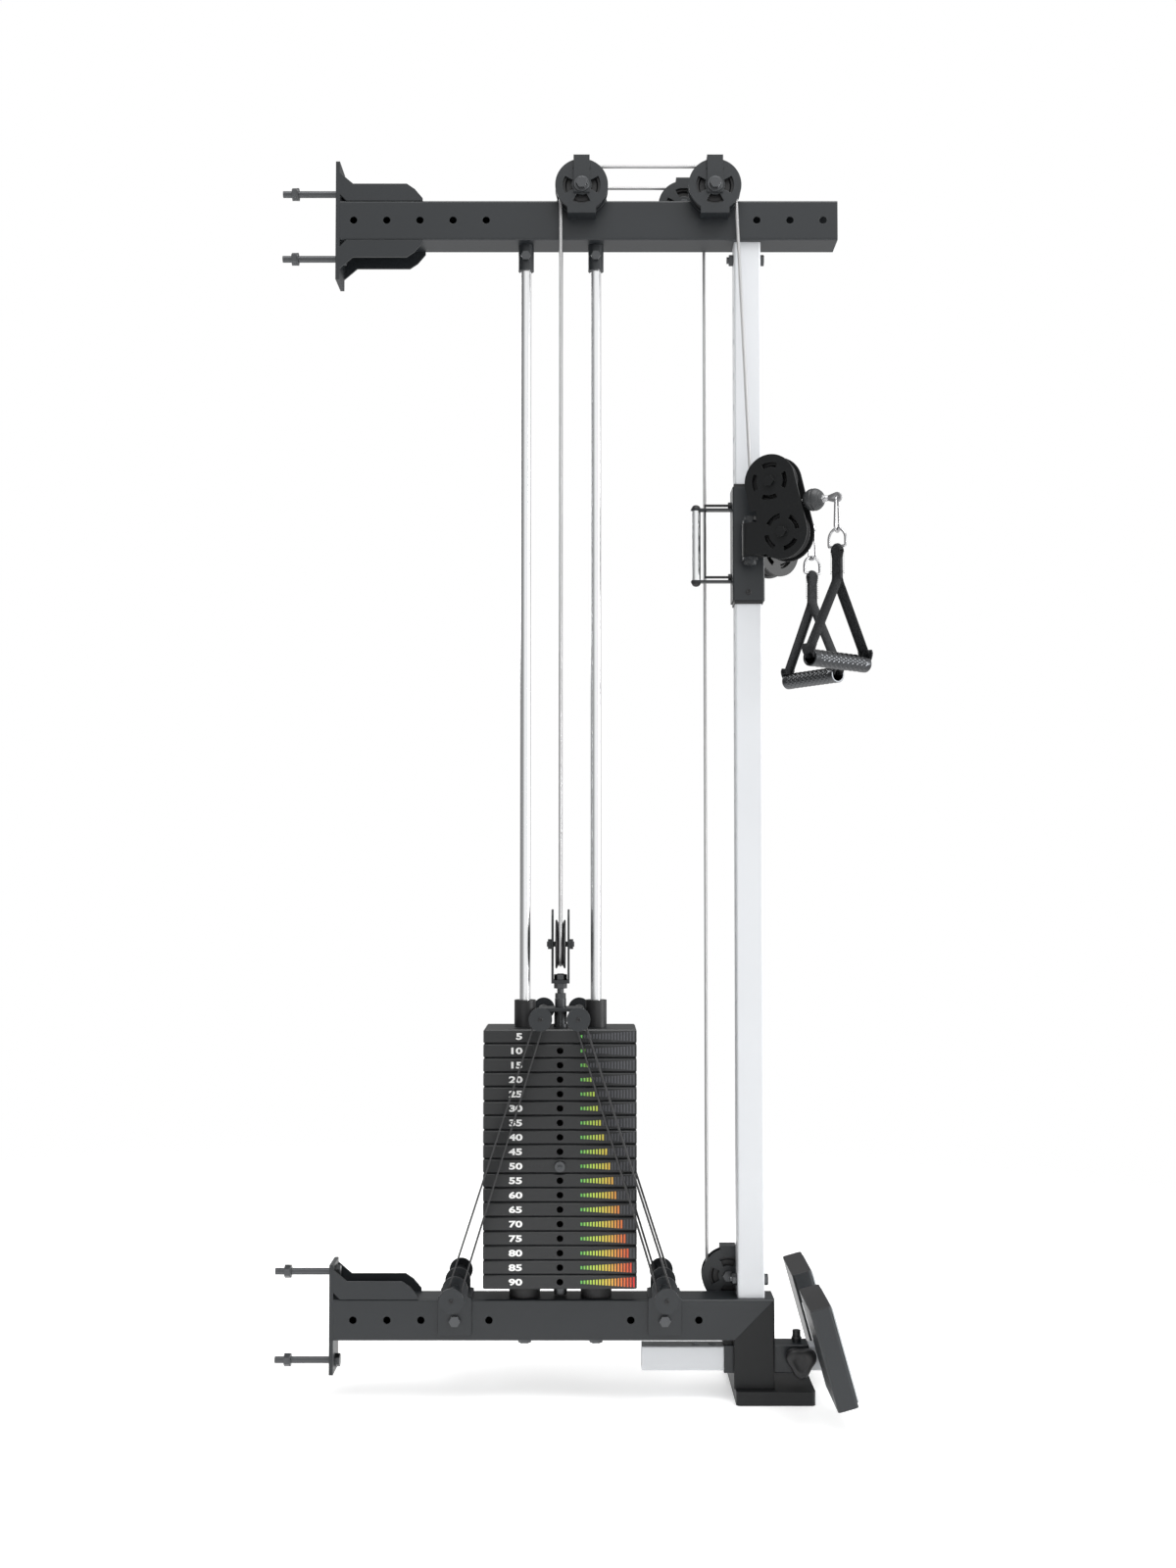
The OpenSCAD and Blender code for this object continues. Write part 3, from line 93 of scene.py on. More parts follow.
bpy.ops.object.select_all(action="DESELECT")
bpy.ops.mesh.primitive_plane_add(size=2 * floor_half, location=(0, 0, floor_z - 0.0005))
floor = bpy.context.object
floor.name = "floor"
floor_paint = bpy.data.materials.new("floor_white")
floor_paint.use_nodes = True
floor_shader = floor_paint.node_tree.nodes["Principled BSDF"]
floor_shader.inputs["Base Color"].default_value = (0.97, 0.97, 0.97, 1)
floor_shader.inputs["Roughness"].default_value = 0.9
floor_shader.inputs["Emission Color"].default_value = (1, 1, 1, 1)
floor_shader.inputs["Emission Strength"].default_value = 0.32
floor_tree = floor_paint.node_tree
floor_at = floor_tree.nodes.new("ShaderNodeTexCoord")
floor_far = chain(floor_tree, "LENGTH", floor_at.outputs["Object"], kind="ShaderNodeVectorMath")
floor_tree.links.new(ranged(floor_tree, floor_far, fade_from, fade_to, 1.0, 0.0, "SMOOTHSTEP"),
                     floor_shader.inputs["Alpha"])
floor.data.materials.append(floor_paint)

# Studio: bright in front and on the right and dim on the left, so that faces turned to the
# left stay dark, with a white floor's light from below the horizon. The camera sees it plain
# white. Three large soft lamps stand to the right, above and behind.
bright_side = (0.80, -0.58, 0.12)
dim_share, floor_share = 0.27, 0.70
world = bpy.data.worlds.new("studio")
bpy.context.scene.world = world
world.use_nodes = True
sky = world.node_tree
sky.nodes.clear()
sky_out = sky.nodes.new("ShaderNodeOutputWorld")
sky_mix = sky.nodes.new("ShaderNodeMixShader")
sky_light = sky.nodes.new("ShaderNodeBackground")
sky_light.inputs["Color"].default_value = (1, 1, 1, 1)
sky_at = sky.nodes.new("ShaderNodeTexCoord")
sky_split = sky.nodes.new("ShaderNodeSeparateXYZ")
sky.links.new(sky_at.outputs["Generated"], sky_split.inputs[0])
sky_side = chain(sky, "DOT_PRODUCT", sky_at.outputs["Generated"], bright_side,
                 kind="ShaderNodeVectorMath")
sky_rise = ranged(sky, sky_side, -0.45, 0.50, dim_share, 1.0, "SMOOTHSTEP")
sky_ground = ranged(sky, sky_split.outputs["Z"], -0.02, -0.22, 0.0, floor_share)
sky.links.new(chain(sky, "MAXIMUM", sky_rise, sky_ground), sky_light.inputs["Strength"])
sky_white = sky.nodes.new("ShaderNodeBackground")
sky_white.inputs["Color"].default_value = (1, 1, 1, 1)
sky_path = sky.nodes.new("ShaderNodeLightPath")
sky_seen = chain(sky, "MAXIMUM", sky_path.outputs["Is Camera Ray"],
                 sky_path.outputs["Is Transmission Ray"])
sky.links.new(sky_seen, sky_mix.inputs[0])
sky.links.new(sky_light.outputs[0], sky_mix.inputs[1])
sky.links.new(sky_white.outputs[0], sky_mix.inputs[2])
sky.links.new(sky_mix.outputs[0], sky_out.inputs[0])


def soft_lamp(name, place, target, size, power):
    lamp = bpy.data.lights.new(name, "AREA")
    lamp.size = size
    lamp.energy = power
    holder = bpy.data.objects.new(name, lamp)
    holder.location = place
    aim = Vector(target) - Vector(place)
    holder.rotation_euler = aim.to_track_quat("-Z", "Y").to_euler()
    bpy.context.scene.collection.objects.link(holder)


soft_lamp("key", (3.6, -0.8, 1.3), (0.5, 0, 0.9), 1.5, 70)
soft_lamp("top", (0.9, -1.2, 4.2), (0.4, 0, 0.0), 2.8, 95)
soft_lamp("back", (-1.6, 3.4, 2.4), (0.4, 0, 0.8), 2.0, 45)


# Powder coat on the tubes, flanges and guards: charcoal, satin, with the fine orange peel of
# baked powder, faint cloudiness and edges that catch the light. Both cable housings, the leg
# and its pad have a darker and less shiny copy of the same coat, as painted shade.
def surface_group(name):
    """Grain, cloudiness and rounded edges that every hard finish shares."""
    group = bpy.data.node_groups.new(name, "ShaderNodeTree")
    for label, kind, value in (
            ("Colour", "Color", (0.05, 0.05, 0.05, 1)), ("Grain scale", "Float", 900.0),
            ("Grain depth", "Float", 0.1), ("Cloud", "Float", 0.1),
            ("Roughness", "Float", 0.4), ("Edge", "Float", 0.001)):
        item = group.interface.new_socket(name=label, in_out="INPUT",
                                          socket_type=f"NodeSocket{kind}")
        item.default_value = value
    for label, kind in (("Colour", "Color"), ("Roughness", "Float"), ("Normal", "Vector")):
        group.interface.new_socket(name=label, in_out="OUTPUT",
                                   socket_type=f"NodeSocket{kind}")
    make, link = group.nodes.new, group.links.new
    given = make("NodeGroupInput")
    result = make("NodeGroupOutput")
    place = make("ShaderNodeTexCoord")
    fine = make("ShaderNodeTexNoise")
    fine.inputs["Detail"].default_value = 3
    link(place.outputs["Object"], fine.inputs["Vector"])
    link(given.outputs["Grain scale"], fine.inputs["Scale"])
    broad = make("ShaderNodeTexNoise")
    broad.inputs["Scale"].default_value = 9
    broad.inputs["Detail"].default_value = 5
    link(place.outputs["Object"], broad.inputs["Vector"])
    swing = chain(group, "MULTIPLY", chain(group, "SUBTRACT", broad.outputs["Fac"], 0.5),
                  given.outputs["Cloud"])
    tint = make("ShaderNodeVectorMath")
    tint.operation = "SCALE"
    link(given.outputs["Colour"], tint.inputs[0])
    link(chain(group, "ADD", swing, 1), tint.inputs["Scale"])
    link(tint.outputs[0], result.inputs["Colour"])
    link(chain(group, "MULTIPLY_ADD", swing, 0.6, given.outputs["Roughness"]),
         result.inputs["Roughness"])
    soft_edge = make("ShaderNodeBevel")
    soft_edge.samples = 4
    link(given.outputs["Edge"], soft_edge.inputs["Radius"])
    bump = make("ShaderNodeBump")
    bump.inputs["Distance"].default_value = 0.0004
    link(given.outputs["Grain depth"], bump.inputs["Strength"])
    link(fine.outputs["Fac"], bump.inputs["Height"])
    link(soft_edge.outputs[0], bump.inputs["Normal"])
    link(bump.outputs[0], result.inputs["Normal"])
    return group


hard_surface = surface_group("hard_surface")


def hard_finish(name, colour, rough, metal=0.0, grain=900.0, depth=0.1, cloud=0.12,
                edge=0.001, coat=0.0):
    """A finish of the hard surface group: grain per metre, edge radius in metres."""
    paint = bpy.data.materials.new(name)
    paint.use_nodes = True
    tree = paint.node_tree
    shader = tree.nodes["Principled BSDF"]
    skin = tree.nodes.new("ShaderNodeGroup")
    skin.node_tree = hard_surface
    skin.inputs["Colour"].default_value = (*colour, 1)
    skin.inputs["Grain scale"].default_value = grain
    skin.inputs["Grain depth"].default_value = depth
    skin.inputs["Cloud"].default_value = cloud
    skin.inputs["Roughness"].default_value = rough
    skin.inputs["Edge"].default_value = edge
    tree.links.new(skin.outputs["Colour"], shader.inputs["Base Color"])
    tree.links.new(skin.outputs["Roughness"], shader.inputs["Roughness"])
    tree.links.new(skin.outputs["Normal"], shader.inputs["Normal"])
    shader.inputs["Metallic"].default_value = metal
    shader.inputs["Coat Weight"].default_value = coat
    return paint


def dress(paint, *names):
    for name in names:
        mesh = nodes[name].data
        mesh.materials.clear()
        mesh.materials.append(paint)


charcoal = hard_finish("charcoal_powder_coat", (0.011, 0.0135, 0.016), 0.40, depth=0.16)
dress(charcoal, "upper_beam", "upper_rack_flange", "lower_beam", "lower_rack_flange",
      "front_pulley_guards", "rear_pulley_guards", "band_brackets", "band_crossbar", "yoke",
      "carriage_sleeve", "handle_brackets", "rod_sockets", "foot_sleeve", "foot_plates")
# A darker, less shiny copy of the charcoal coat: painted shade on both housings, the leg and
# its pad.
charcoal_painted_shade = hard_finish("charcoal_coat_painted_shade", (0.0045, 0.0052, 0.0058), 0.46, depth=0.16)
painted_shade_shader = charcoal_painted_shade.node_tree.nodes["Principled BSDF"]
painted_shade_shader.inputs["Specular IOR Level"].default_value = 0.35
dress(charcoal_painted_shade, "front_housing", "rear_housing", "foot_leg", "foot_pad")

# Upright and sliding foot tube: square steel tube in a pale grey satin coat, a little
# glossier and smoother than the frame's.
pale = hard_finish("pale_satin_coat", (0.60, 0.615, 0.635), 0.34, depth=0.05, cloud=0.05)
dress(pale, "upright", "foot_tube")

# Guide rods and the carriage's grip: steel, ground, hard chromed and polished, so that they
# show long bright and dark streaks.
chrome = hard_finish("polished_chrome", (0.86, 0.87, 0.88), 0.20, metal=1.0, depth=0.0,
                     cloud=0.04)
dress(chrome, "guide_rods", "carriage_grip")

# Bolts, nuts and washers, the long rack bolts, the selector's stem and its pin: steel, turned
# and blackened in an oil bath.
black_steel = hard_finish("blackened_steel", (0.085, 0.088, 0.092), 0.32, metal=0.8,
                          depth=0.05)
dress(black_steel, "frame_bolts", "pulley_bolts", "selector_stem", "rack_bolts",
      "selector_pin")

# Weight plates: cast iron with a smooth machined face, sprayed black, with the slight sheen
# and the coarser grain of thick paint.
plate_black = hard_finish("plate_black", (0.010, 0.011, 0.012), 0.36, depth=0.25, grain=500)
dress(plate_black, "resting_plates", "lifted_plates", "top_plate")

# Wheels, bushings, liners, lever and lock pin: black moulded nylon. The bumpers under the
# stack are black rubber, duller and softer.
moulded = hard_finish("black_moulding", (0.009, 0.009, 0.010), 0.42, depth=0.1)
dress(moulded, "front_stack_pulley", "front_column_pulley", "rear_stack_pulley",
      "rear_column_pulley", "low_pulley", "yoke_pulley", "front_upper_wheel",
      "front_lower_wheel", "rear_upper_wheel", "rear_lower_wheel", "rod_bushings",
      "sleeve_liners", "release_lever", "pop_pin")
rubber = hard_finish("black_rubber", (0.016, 0.016, 0.017), 0.62, depth=0.2)
dress(rubber, "stack_bumpers")

# Foot rest treads: sheets of pale rubber on the foot plates, with rows of small domes, glued
# on. The plates end in moulded caps.
tread_pitch, tread_rise = 0.0065, 0.0007
tread = hard_finish("pale_tread", (0.45, 0.47, 0.49), 0.5, depth=0.4, grain=700)
dress(tread, "foot_treads")


def axes_of(tree, kind="ShaderNodeTexCoord", output="Object"):
    """X, Y and Z of the piece's own coordinates, or of its UV map."""
    at = tree.nodes.new(kind)
    split = tree.nodes.new("ShaderNodeSeparateXYZ")
    tree.links.new(at.outputs[output], split.inputs[0])
    return split.outputs


def skin_of(tree):
    """The finish's hard surface group."""
    return next(node for node in tree.nodes if node.type == "GROUP")


def raise_by(tree, height, depth, under=None):
    """Relief on the whole finish, over the normal given as under."""
    bump = tree.nodes.new("ShaderNodeBump")
    bump.inputs["Distance"].default_value = depth
    tree.links.new(height, bump.inputs["Height"])
    if under is not None:
        tree.links.new(under, bump.inputs["Normal"])
    tree.links.new(bump.outputs[0], tree.nodes["Principled BSDF"].inputs["Normal"])


def raised_dots(paint, pitch, depth):
    """Rows of small domes in the plane of y and z, over the finish's own grain."""
    tree = paint.node_tree
    axes = axes_of(tree)
    waves = [chain(tree, "COSINE", chain(tree, "MULTIPLY", axes[axis], 2 * math.pi / pitch))
             for axis in ("Y", "Z")]
    domes = chain(tree, "MAXIMUM", chain(tree, "MULTIPLY", *waves), 0.0)
    raise_by(tree, domes, depth, skin_of(tree).outputs["Normal"])


raised_dots(tread, tread_pitch, tread_rise)

# A cap's faces are those within its thickness of either end of the plate, along its slope.
plate_lean = math.radians(15.5)
plate_middle_x, plate_middle_z, plate_half, cap_t = 0.7225, -0.017, 0.072, 0.003
foot_mesh = nodes["foot_plates"].data
foot_mesh.materials.append(moulded)
for face in foot_mesh.polygons:
    x, z = face.center.x - plate_middle_x, face.center.z - plate_middle_z
    along = -x * math.sin(plate_lean) + z * math.cos(plate_lean)
    face.material_index = 1 if abs(along) > plate_half - 1.1 * cap_t else 0

# Cable: bright steel rope under a clear sleeve, with the slant of its lay. It runs over the
# pulleys in one piece.
FRONT, REAR = -1, 1
X, Y, Z = Vector((1, 0, 0)), Vector((0, 1, 0)), Vector((0, 0, 1))


def alone(*objs):
    """Selects these only, because an operator acts on all that is selected."""
    bpy.ops.object.select_all(action="DESELECT")
    for obj in objs:
        obj.select_set(True)
    bpy.context.view_layer.objects.active = objs[0]


def joined(name, parts):
    alone(*parts)
    if len(parts) > 1:
        bpy.ops.object.join()
    whole = bpy.context.object
    whole.name = whole.data.name = name
    return whole


def present(obj, paint, body, stands_for=(), smooth=35):
    """The last step of a piece: shading, finish, body and the CAD nodes it stands for."""
    alone(obj)
    bpy.ops.object.shade_smooth_by_angle(angle=math.radians(smooth))
    obj.data.materials.clear()
    obj.data.materials.append(paint)
    if body:
        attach(obj, body)
    if stands_for:
        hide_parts(*stands_for)
    return obj


def even_points(points, step):
    """The same route with its points spread evenly along it."""
    points = [Vector(p) for p in points]
    legs = [(b - a).length for a, b in zip(points, points[1:])]
    total = sum(legs)
    count = max(2, round(total / step))
    spread = []
    leg, walked = 0, 0.0
    for i in range(count + 1):
        want = total * i / count
        while leg < len(legs) - 1 and walked + legs[leg] < want:
            walked += legs[leg]
            leg += 1
        share = min(1.0, (want - walked) / legs[leg])
        spread.append(points[leg].lerp(points[leg + 1], share))
    return spread, total


def curve_object(name, points, closed, flat=False):
    curve = bpy.data.curves.new(name, "CURVE")
    curve.dimensions = "2D" if flat else "3D"
    curve.fill_mode = "FULL" if not flat else "NONE"
    line = curve.splines.new("POLY")
    line.points.add(len(points) - 1)
    for dot, place in zip(line.points, points):
        dot.co = (*place, 1)
    line.use_cyclic_u = closed
    obj = bpy.data.objects.new(name, curve)
    bpy.context.scene.collection.objects.link(obj)
    return obj


def wire(name, points, radius, step, closed=False, caps=True):
    """A round wire along a route, with u in metres along it and v once round it."""
    spread, total = even_points(list(points) + ([points[0]] if closed else []), step)
    if closed:
        spread = spread[:-1]
    obj = curve_object(name, spread, closed)
    obj.data.bevel_depth = radius
    obj.data.bevel_resolution = 3
    obj.data.use_fill_caps = caps and not closed
    alone(obj)
    bpy.ops.object.convert(target="MESH")
    obj = bpy.context.object
    for corner in obj.data.uv_layers[0].data:
        corner.uv.x *= total
    return obj


def arc(centre, across, up, radius, start, end, count):
    """Points on an arc in the plane of two directions, angles in degrees."""
    centre, across, up = Vector(centre), Vector(across), Vector(up)
    turns = [math.radians(start + (end - start) * i / count) for i in range(count + 1)]
    return [centre + radius * (math.cos(t) * across + math.sin(t) * up) for t in turns]


def two_colours(tree, share, dark, light):
    """Base colour between dark and light, by share."""
    ramp = tree.nodes.new("ShaderNodeMix")
    ramp.data_type = "RGBA"
    ramp.inputs["A"].default_value = (*dark, 1)
    ramp.inputs["B"].default_value = (*light, 1)
    tree.links.new(share, ramp.inputs["Factor"])
    tree.links.new(ramp.outputs["Result"],
                   tree.nodes["Principled BSDF"].inputs["Base Color"])


def rope_finish(name, dark, light, pitch, strands, depth):
    paint = hard_finish(name, dark, 0.34, metal=0.75, depth=0.05, cloud=0.1, coat=0.25)
    tree = paint.node_tree
    axes = axes_of(tree, "ShaderNodeUVMap", "UV")
    twist = chain(tree, "ADD", chain(tree, "MULTIPLY", axes["X"], 1 / pitch), axes["Y"])
    wave = chain(tree, "SINE", chain(tree, "MULTIPLY", twist, 2 * math.pi * strands))
    height = chain(tree, "MULTIPLY_ADD", wave, 0.5, 0.5)
    # Base colour follows the lay's relief: painted shade in the grooves between strands and
    # painted highlight on their crowns.
    two_colours(tree, height, dark, light)
    raise_by(tree, height, depth)
    return paint


rope = rope_finish("bright_rope", (0.26, 0.26, 0.265), (0.60, 0.60, 0.60),
                   pitch=0.022, strands=6, depth=0.0003)
cable_r = 0.0025
wheel_r = 0.0315
cable_y = 0.045
pulley_z = 1.6846
stack_x = 0.3395
stack_pulley_x = stack_x + wheel_r
column_x = {FRONT: 0.5705, REAR: 0.5285}
low_x, low_z = 0.5915, 0.051
yoke_z = 0.550
hinge = {side: Vector((0.6215, side * 0.050, 0)) for side in (FRONT, REAR)}
heading = {FRONT: math.radians(-30), REAR: math.radians(35)}
cable_step = 0.006

over_beam = {}
for side in (FRONT, REAR):
    y = side * cable_y
    over_beam[side] = (arc((stack_pulley_x, y, pulley_z), X, Z, wheel_r, 180, 90, 12)
                       + arc((column_x[side], y, pulley_z), X, Z, wheel_r, 90, 0, 12))
over_beam[REAR] += arc((low_x, cable_y, low_z), X, Z, wheel_r, 180, 360, 24)
runs = [wire("cable_over_front", over_beam[FRONT], cable_r, cable_step, caps=False),
        wire("cable_over_rear", over_beam[REAR], cable_r, cable_step, caps=False)]
present(joined("cable_fixed", runs), rope, "root", ("fixed_cable",))

loop_route = ([Vector((stack_x, -cable_y, pulley_z))]
              + arc((stack_x, 0, yoke_z), Y, Z, wheel_r, 180, 360, 24)
              + [Vector((stack_x, cable_y, pulley_z))])
stack_loop = wire("cable_loop", loop_route, cable_r, cable_step, caps=False)
present(stack_loop, rope, None, ("cable_stack_loop",))
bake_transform(stack_loop)

upper_u, upper_z = 0.038, 1.2325
lower_u, lower_z = 0.0575, 1.1557
drop_end_z = upper_z + 0.025
drop = wire("cable_drop", [(column_x[FRONT] + wheel_r, -cable_y, pulley_z),
                           (hinge[FRONT].x, hinge[FRONT].y, drop_end_z)],
            cable_r, cable_step, caps=False)
present(drop, rope, None, ("front_cable_drop",))
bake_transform(drop)

rise_u, rise_top_z = lower_u - wheel_r, 1.108
rise_top = hinge[REAR] + rise_u * Vector((math.cos(heading[REAR]), math.sin(heading[REAR]), 0))
rise = wire("cable_rise", [(low_x + wheel_r, cable_y, low_z),
                           (rise_top.x, rise_top.y, rise_top_z)],
            cable_r, cable_step, caps=False)
present(rise, rope, None, ("rear_cable_rise",))
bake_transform(rise)


# Cable ends, in the frame of the hinge, whose x points at the handle: the cable round the
# wheels, a moulded ball with three grooves, a turned ferrule and a flat tang with its eye.
def at_hinge(side):
    """The frame of the housing's hinge on that side, at height 0."""
    return Matrix.Translation(hinge[side]) @ Matrix.Rotation(heading[side], 4, "Z")


TO_X = Matrix.Rotation(math.radians(90), 4, "Y")
exit_z = upper_z - wheel_r
ball_u, ball_r = 0.1025, 0.0165
eye_u = 0.1385
tang_back, tang_root_r, tang_r, tang_t, tang_hole_r = 0.013, 0.004, 0.0078, 0.003, 0.00235
meet = (math.degrees(math.atan2(drop_end_z - upper_z, -upper_u)
                     + math.acos(wheel_r / math.hypot(upper_u, drop_end_z - upper_z))))
leave = (math.atan2(exit_z - lower_z, ball_u - lower_u)
         + math.acos(wheel_r / math.hypot(ball_u - lower_u, exit_z - lower_z)))
end_route = {
    FRONT: ([Vector((0, 0, drop_end_z))]
            + arc((upper_u, 0, upper_z), X, Z, wheel_r, meet, 270, 12)
            + [Vector((ball_u - 0.9 * ball_r, 0, exit_z))]),
    REAR: ([Vector((rise_u, 0, rise_top_z))]
           + arc((lower_u, 0, lower_z), X, Z, wheel_r, 180, math.degrees(leave), 14)
           + [Vector((ball_u - 0.9 * ball_r, 0, exit_z))])}

ball_paint = hard_finish("ball_moulding", (0.030, 0.032, 0.034), 0.45, depth=0.2, edge=0.0006)
steel = hard_finish("nickel_steel", (0.46, 0.46, 0.47), 0.20, metal=1.0, depth=0.03,
                    cloud=0.15, edge=0.0004)


def settle(obj, shift=None):
    """Puts the object's place and turn into its mesh, and then the matrix shift. A finished
    piece has its place in its mesh and its object at the origin."""
    alone(obj)
    bpy.ops.object.transform_apply(location=True, rotation=True, scale=True)
    if shift is not None:
        obj.data.transform(shift)
    return obj


def use_modifier(obj, kind, **settings):
    alone(obj)
    modifier = obj.modifiers.new(kind.lower(), kind)
    for key, value in settings.items():
        setattr(modifier, key, value)
    bpy.ops.object.modifier_apply(modifier=modifier.name)


def close():
    """Ends edit mode with all faces turned outwards."""
    bpy.ops.mesh.select_all(action="SELECT")
    bpy.ops.mesh.normals_make_consistent(inside=False)
    bpy.ops.object.mode_set(mode="OBJECT")


def turned(name, stations, segments, first_cap=True, last_cap=True):
    """A lathe piece on the z axis: a circle extruded through (z, radius) stations."""
    z, r = stations[0]
    bpy.ops.object.select_all(action="DESELECT")
    bpy.ops.mesh.primitive_circle_add(
        vertices=segments, radius=r, location=(0, 0, 0),
        fill_type="NGON" if first_cap else "NOTHING")
    obj = bpy.context.object
    obj.name = obj.data.name = name
    bpy.ops.object.mode_set(mode="EDIT")
    bpy.ops.mesh.select_all(action="SELECT")
    bpy.ops.transform.translate(value=(0, 0, z))
    for next_z, next_r in stations[1:]:
        bpy.ops.mesh.extrude_region_move(
            TRANSFORM_OT_translate={"value": (0, 0, next_z - z)})
        scale = next_r / r
        bpy.ops.transform.resize(value=(scale, scale, 1), center_override=(0, 0, next_z))
        z, r = next_z, next_r
    if last_cap and not first_cap:
        bpy.ops.mesh.edge_face_add()
    if not last_cap and first_cap:
        bpy.ops.mesh.delete(type="ONLY_FACE")
    close()
    return obj


def grooved_ball(name):
    stations = []
    for i in range(41):
        angle = math.radians(-63 + 126 * i / 40)
        groove = 1 - 0.045 * max(0, math.cos(9 * angle)) ** 6
        stations.append((ball_r * math.sin(angle), ball_r * math.cos(angle) * groove))
    return turned(name, stations, 48)


def tang(name):
    """A flat tail in the x-z plane, widening from its root to the eye at the origin."""
    ends = []
    for x, radius in ((-tang_back, tang_root_r), (0, tang_r)):
        bpy.ops.object.select_all(action="DESELECT")
        bpy.ops.mesh.primitive_cylinder_add(vertices=48, radius=radius, depth=tang_t,
                                            location=(x, 0, 0),
                                            rotation=(math.radians(90), 0, 0))
        ends.append(settle(bpy.context.object))
    plate = joined(name, ends)
    bpy.ops.object.mode_set(mode="EDIT")
    bpy.ops.mesh.select_all(action="SELECT")
    bpy.ops.mesh.convex_hull()
    bpy.ops.mesh.dissolve_limited(angle_limit=math.radians(1))
    close()
    bpy.ops.object.select_all(action="DESELECT")
    bpy.ops.mesh.primitive_cylinder_add(vertices=32, radius=tang_hole_r, depth=0.01,
                                        rotation=(math.radians(90), 0, 0))
    hole = settle(bpy.context.object)
    use_modifier(plate, "BOOLEAN", operation="DIFFERENCE", object=hole, solver="EXACT")
    bpy.data.objects.remove(hole)
    use_modifier(plate, "BEVEL", width=0.0005, segments=2, limit_method="ANGLE")
    return plate


for side, word in ((FRONT, "front"), (REAR, "rear")):
    body = f"{word}_swivel_housing"
    place = at_hinge(side)
    run = wire(f"{word}_end_cable", end_route[side], cable_r, 0.003)
    present(settle(run, place), rope, body, (f"{word}_cable_end",))
    ball = grooved_ball(f"{word}_ball")
    present(settle(ball, place @ Matrix.Translation((ball_u, 0, exit_z)) @ TO_X),
            ball_paint, body, ())
    ferrule = turned(f"{word}_ferrule", [
        (0.0135, 0.0060), (0.0152, 0.0060), (0.0158, 0.0050), (0.0162, 0.0040),
        (0.0168, 0.0037), (0.0174, 0.0045), (0.0200, 0.0045), (0.0208, 0.0040),
        (0.0225, 0.0032)], 32)
    present(settle(ferrule, place @ Matrix.Translation((ball_u, 0, exit_z)) @ TO_X),
            steel, body, ())
    eye = tang(f"{word}_tang")
    present(settle(eye, place @ Matrix.Translation((eye_u, 0, exit_z))), steel, body, ())

# Resistance bands: four flat latex loops, each on an upper peg and a lower one. They stretch
# as the stack rises.
latex = hard_finish("black_latex", (0.022, 0.022, 0.023), 0.50, depth=0.12, grain=1500,
                    cloud=0.25, edge=0.0003)
band_y, band_w, band_t = 0.079, 0.030, 0.0025
peg_top_z, peg_low_z = 0.446, 0.045
band_pegs = (((0.312, 0.0053), (0.185, 0.0083)), ((0.367, 0.0053), (0.4935, 0.0083)))


def belt_route(x_top, r_top, x_low, r_low):
    """The loop round both pegs at the middle of the rubber, in the x-z plane."""
    top, low = Vector((x_top, 0, peg_top_z)), Vector((x_low, 0, peg_low_z))
    down = low - top
    turn = math.degrees(math.atan2(down.z, down.x))
    lean = math.degrees(math.acos((r_top - r_low) / down.length))
    return (arc(top, X, Z, r_top, turn + lean, turn - lean + 360, 16)
            + arc(low, X, Z, r_low, turn - lean, turn + lean, 20))


def flat_loop(name, route, width, thick, y):
    """A closed band on a route in the x-z plane, with its width along y."""
    spread = even_points(list(route) + [route[0]], 0.004)[0]
    obj = curve_object(name, [Vector((p.x, p.z, 0)) for p in spread[:-1]], True, flat=True)
    obj.data.extrude = width / 2
    alone(obj)
    bpy.ops.object.convert(target="MESH")
    obj = settle(bpy.context.object, Matrix.Translation((0, y, 0))
                 @ Matrix.Rotation(math.radians(90), 4, "X"))
    use_modifier(obj, "SOLIDIFY", thickness=thick, offset=0)
    use_modifier(obj, "BEVEL", width=0.0004, segments=2, limit_method="ANGLE",
                 angle_limit=math.radians(60))
    return obj


loops = []
for (x_top, r_top), (x_low, r_low) in band_pegs:
    for side in (FRONT, REAR):
        route = belt_route(x_top, r_top + band_t / 2, x_low, r_low + band_t / 2)
        loops.append(flat_loop(f"band_{len(loops)}", route, band_w, band_t, side * band_y))
bands = present(joined("bands", loops), latex, None, ("resistance_bands",))
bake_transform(bands)

# Handles: a snap link with its gate, a D ring, webbing sewn round the ring's bar and tucked
# into the ends of the grip, and a hollow steel grip with coarse knurling.
webbing_paint = hard_finish("woven_nylon", (0.030, 0.032, 0.035), 0.62, depth=0.0)
grip_steel = hard_finish("knurled_steel", (0.070, 0.073, 0.077), 0.24, metal=1.0,
                         depth=0.04, cloud=0.3, edge=0.0003)
eye_z = exit_z
grip_drop = 0.238
grip_half, grip_r, grip_bore = 0.065, 0.0125, 0.0095
ring_bar_z = -0.072
sewn_z = -0.115
strap_w, strap_t = 0.025, 0.0028
rib_pitch, thread_w = 0.0024, 0.0008
wire_r, gate_r = 0.0020, 0.0015
link_low_z, link_low_r, link_top_z, link_top_r = -0.042, 0.0079, -0.0055, 0.0054
ring_half, ring_arc_z, ring_corner = 0.015, -0.0607, 0.0025


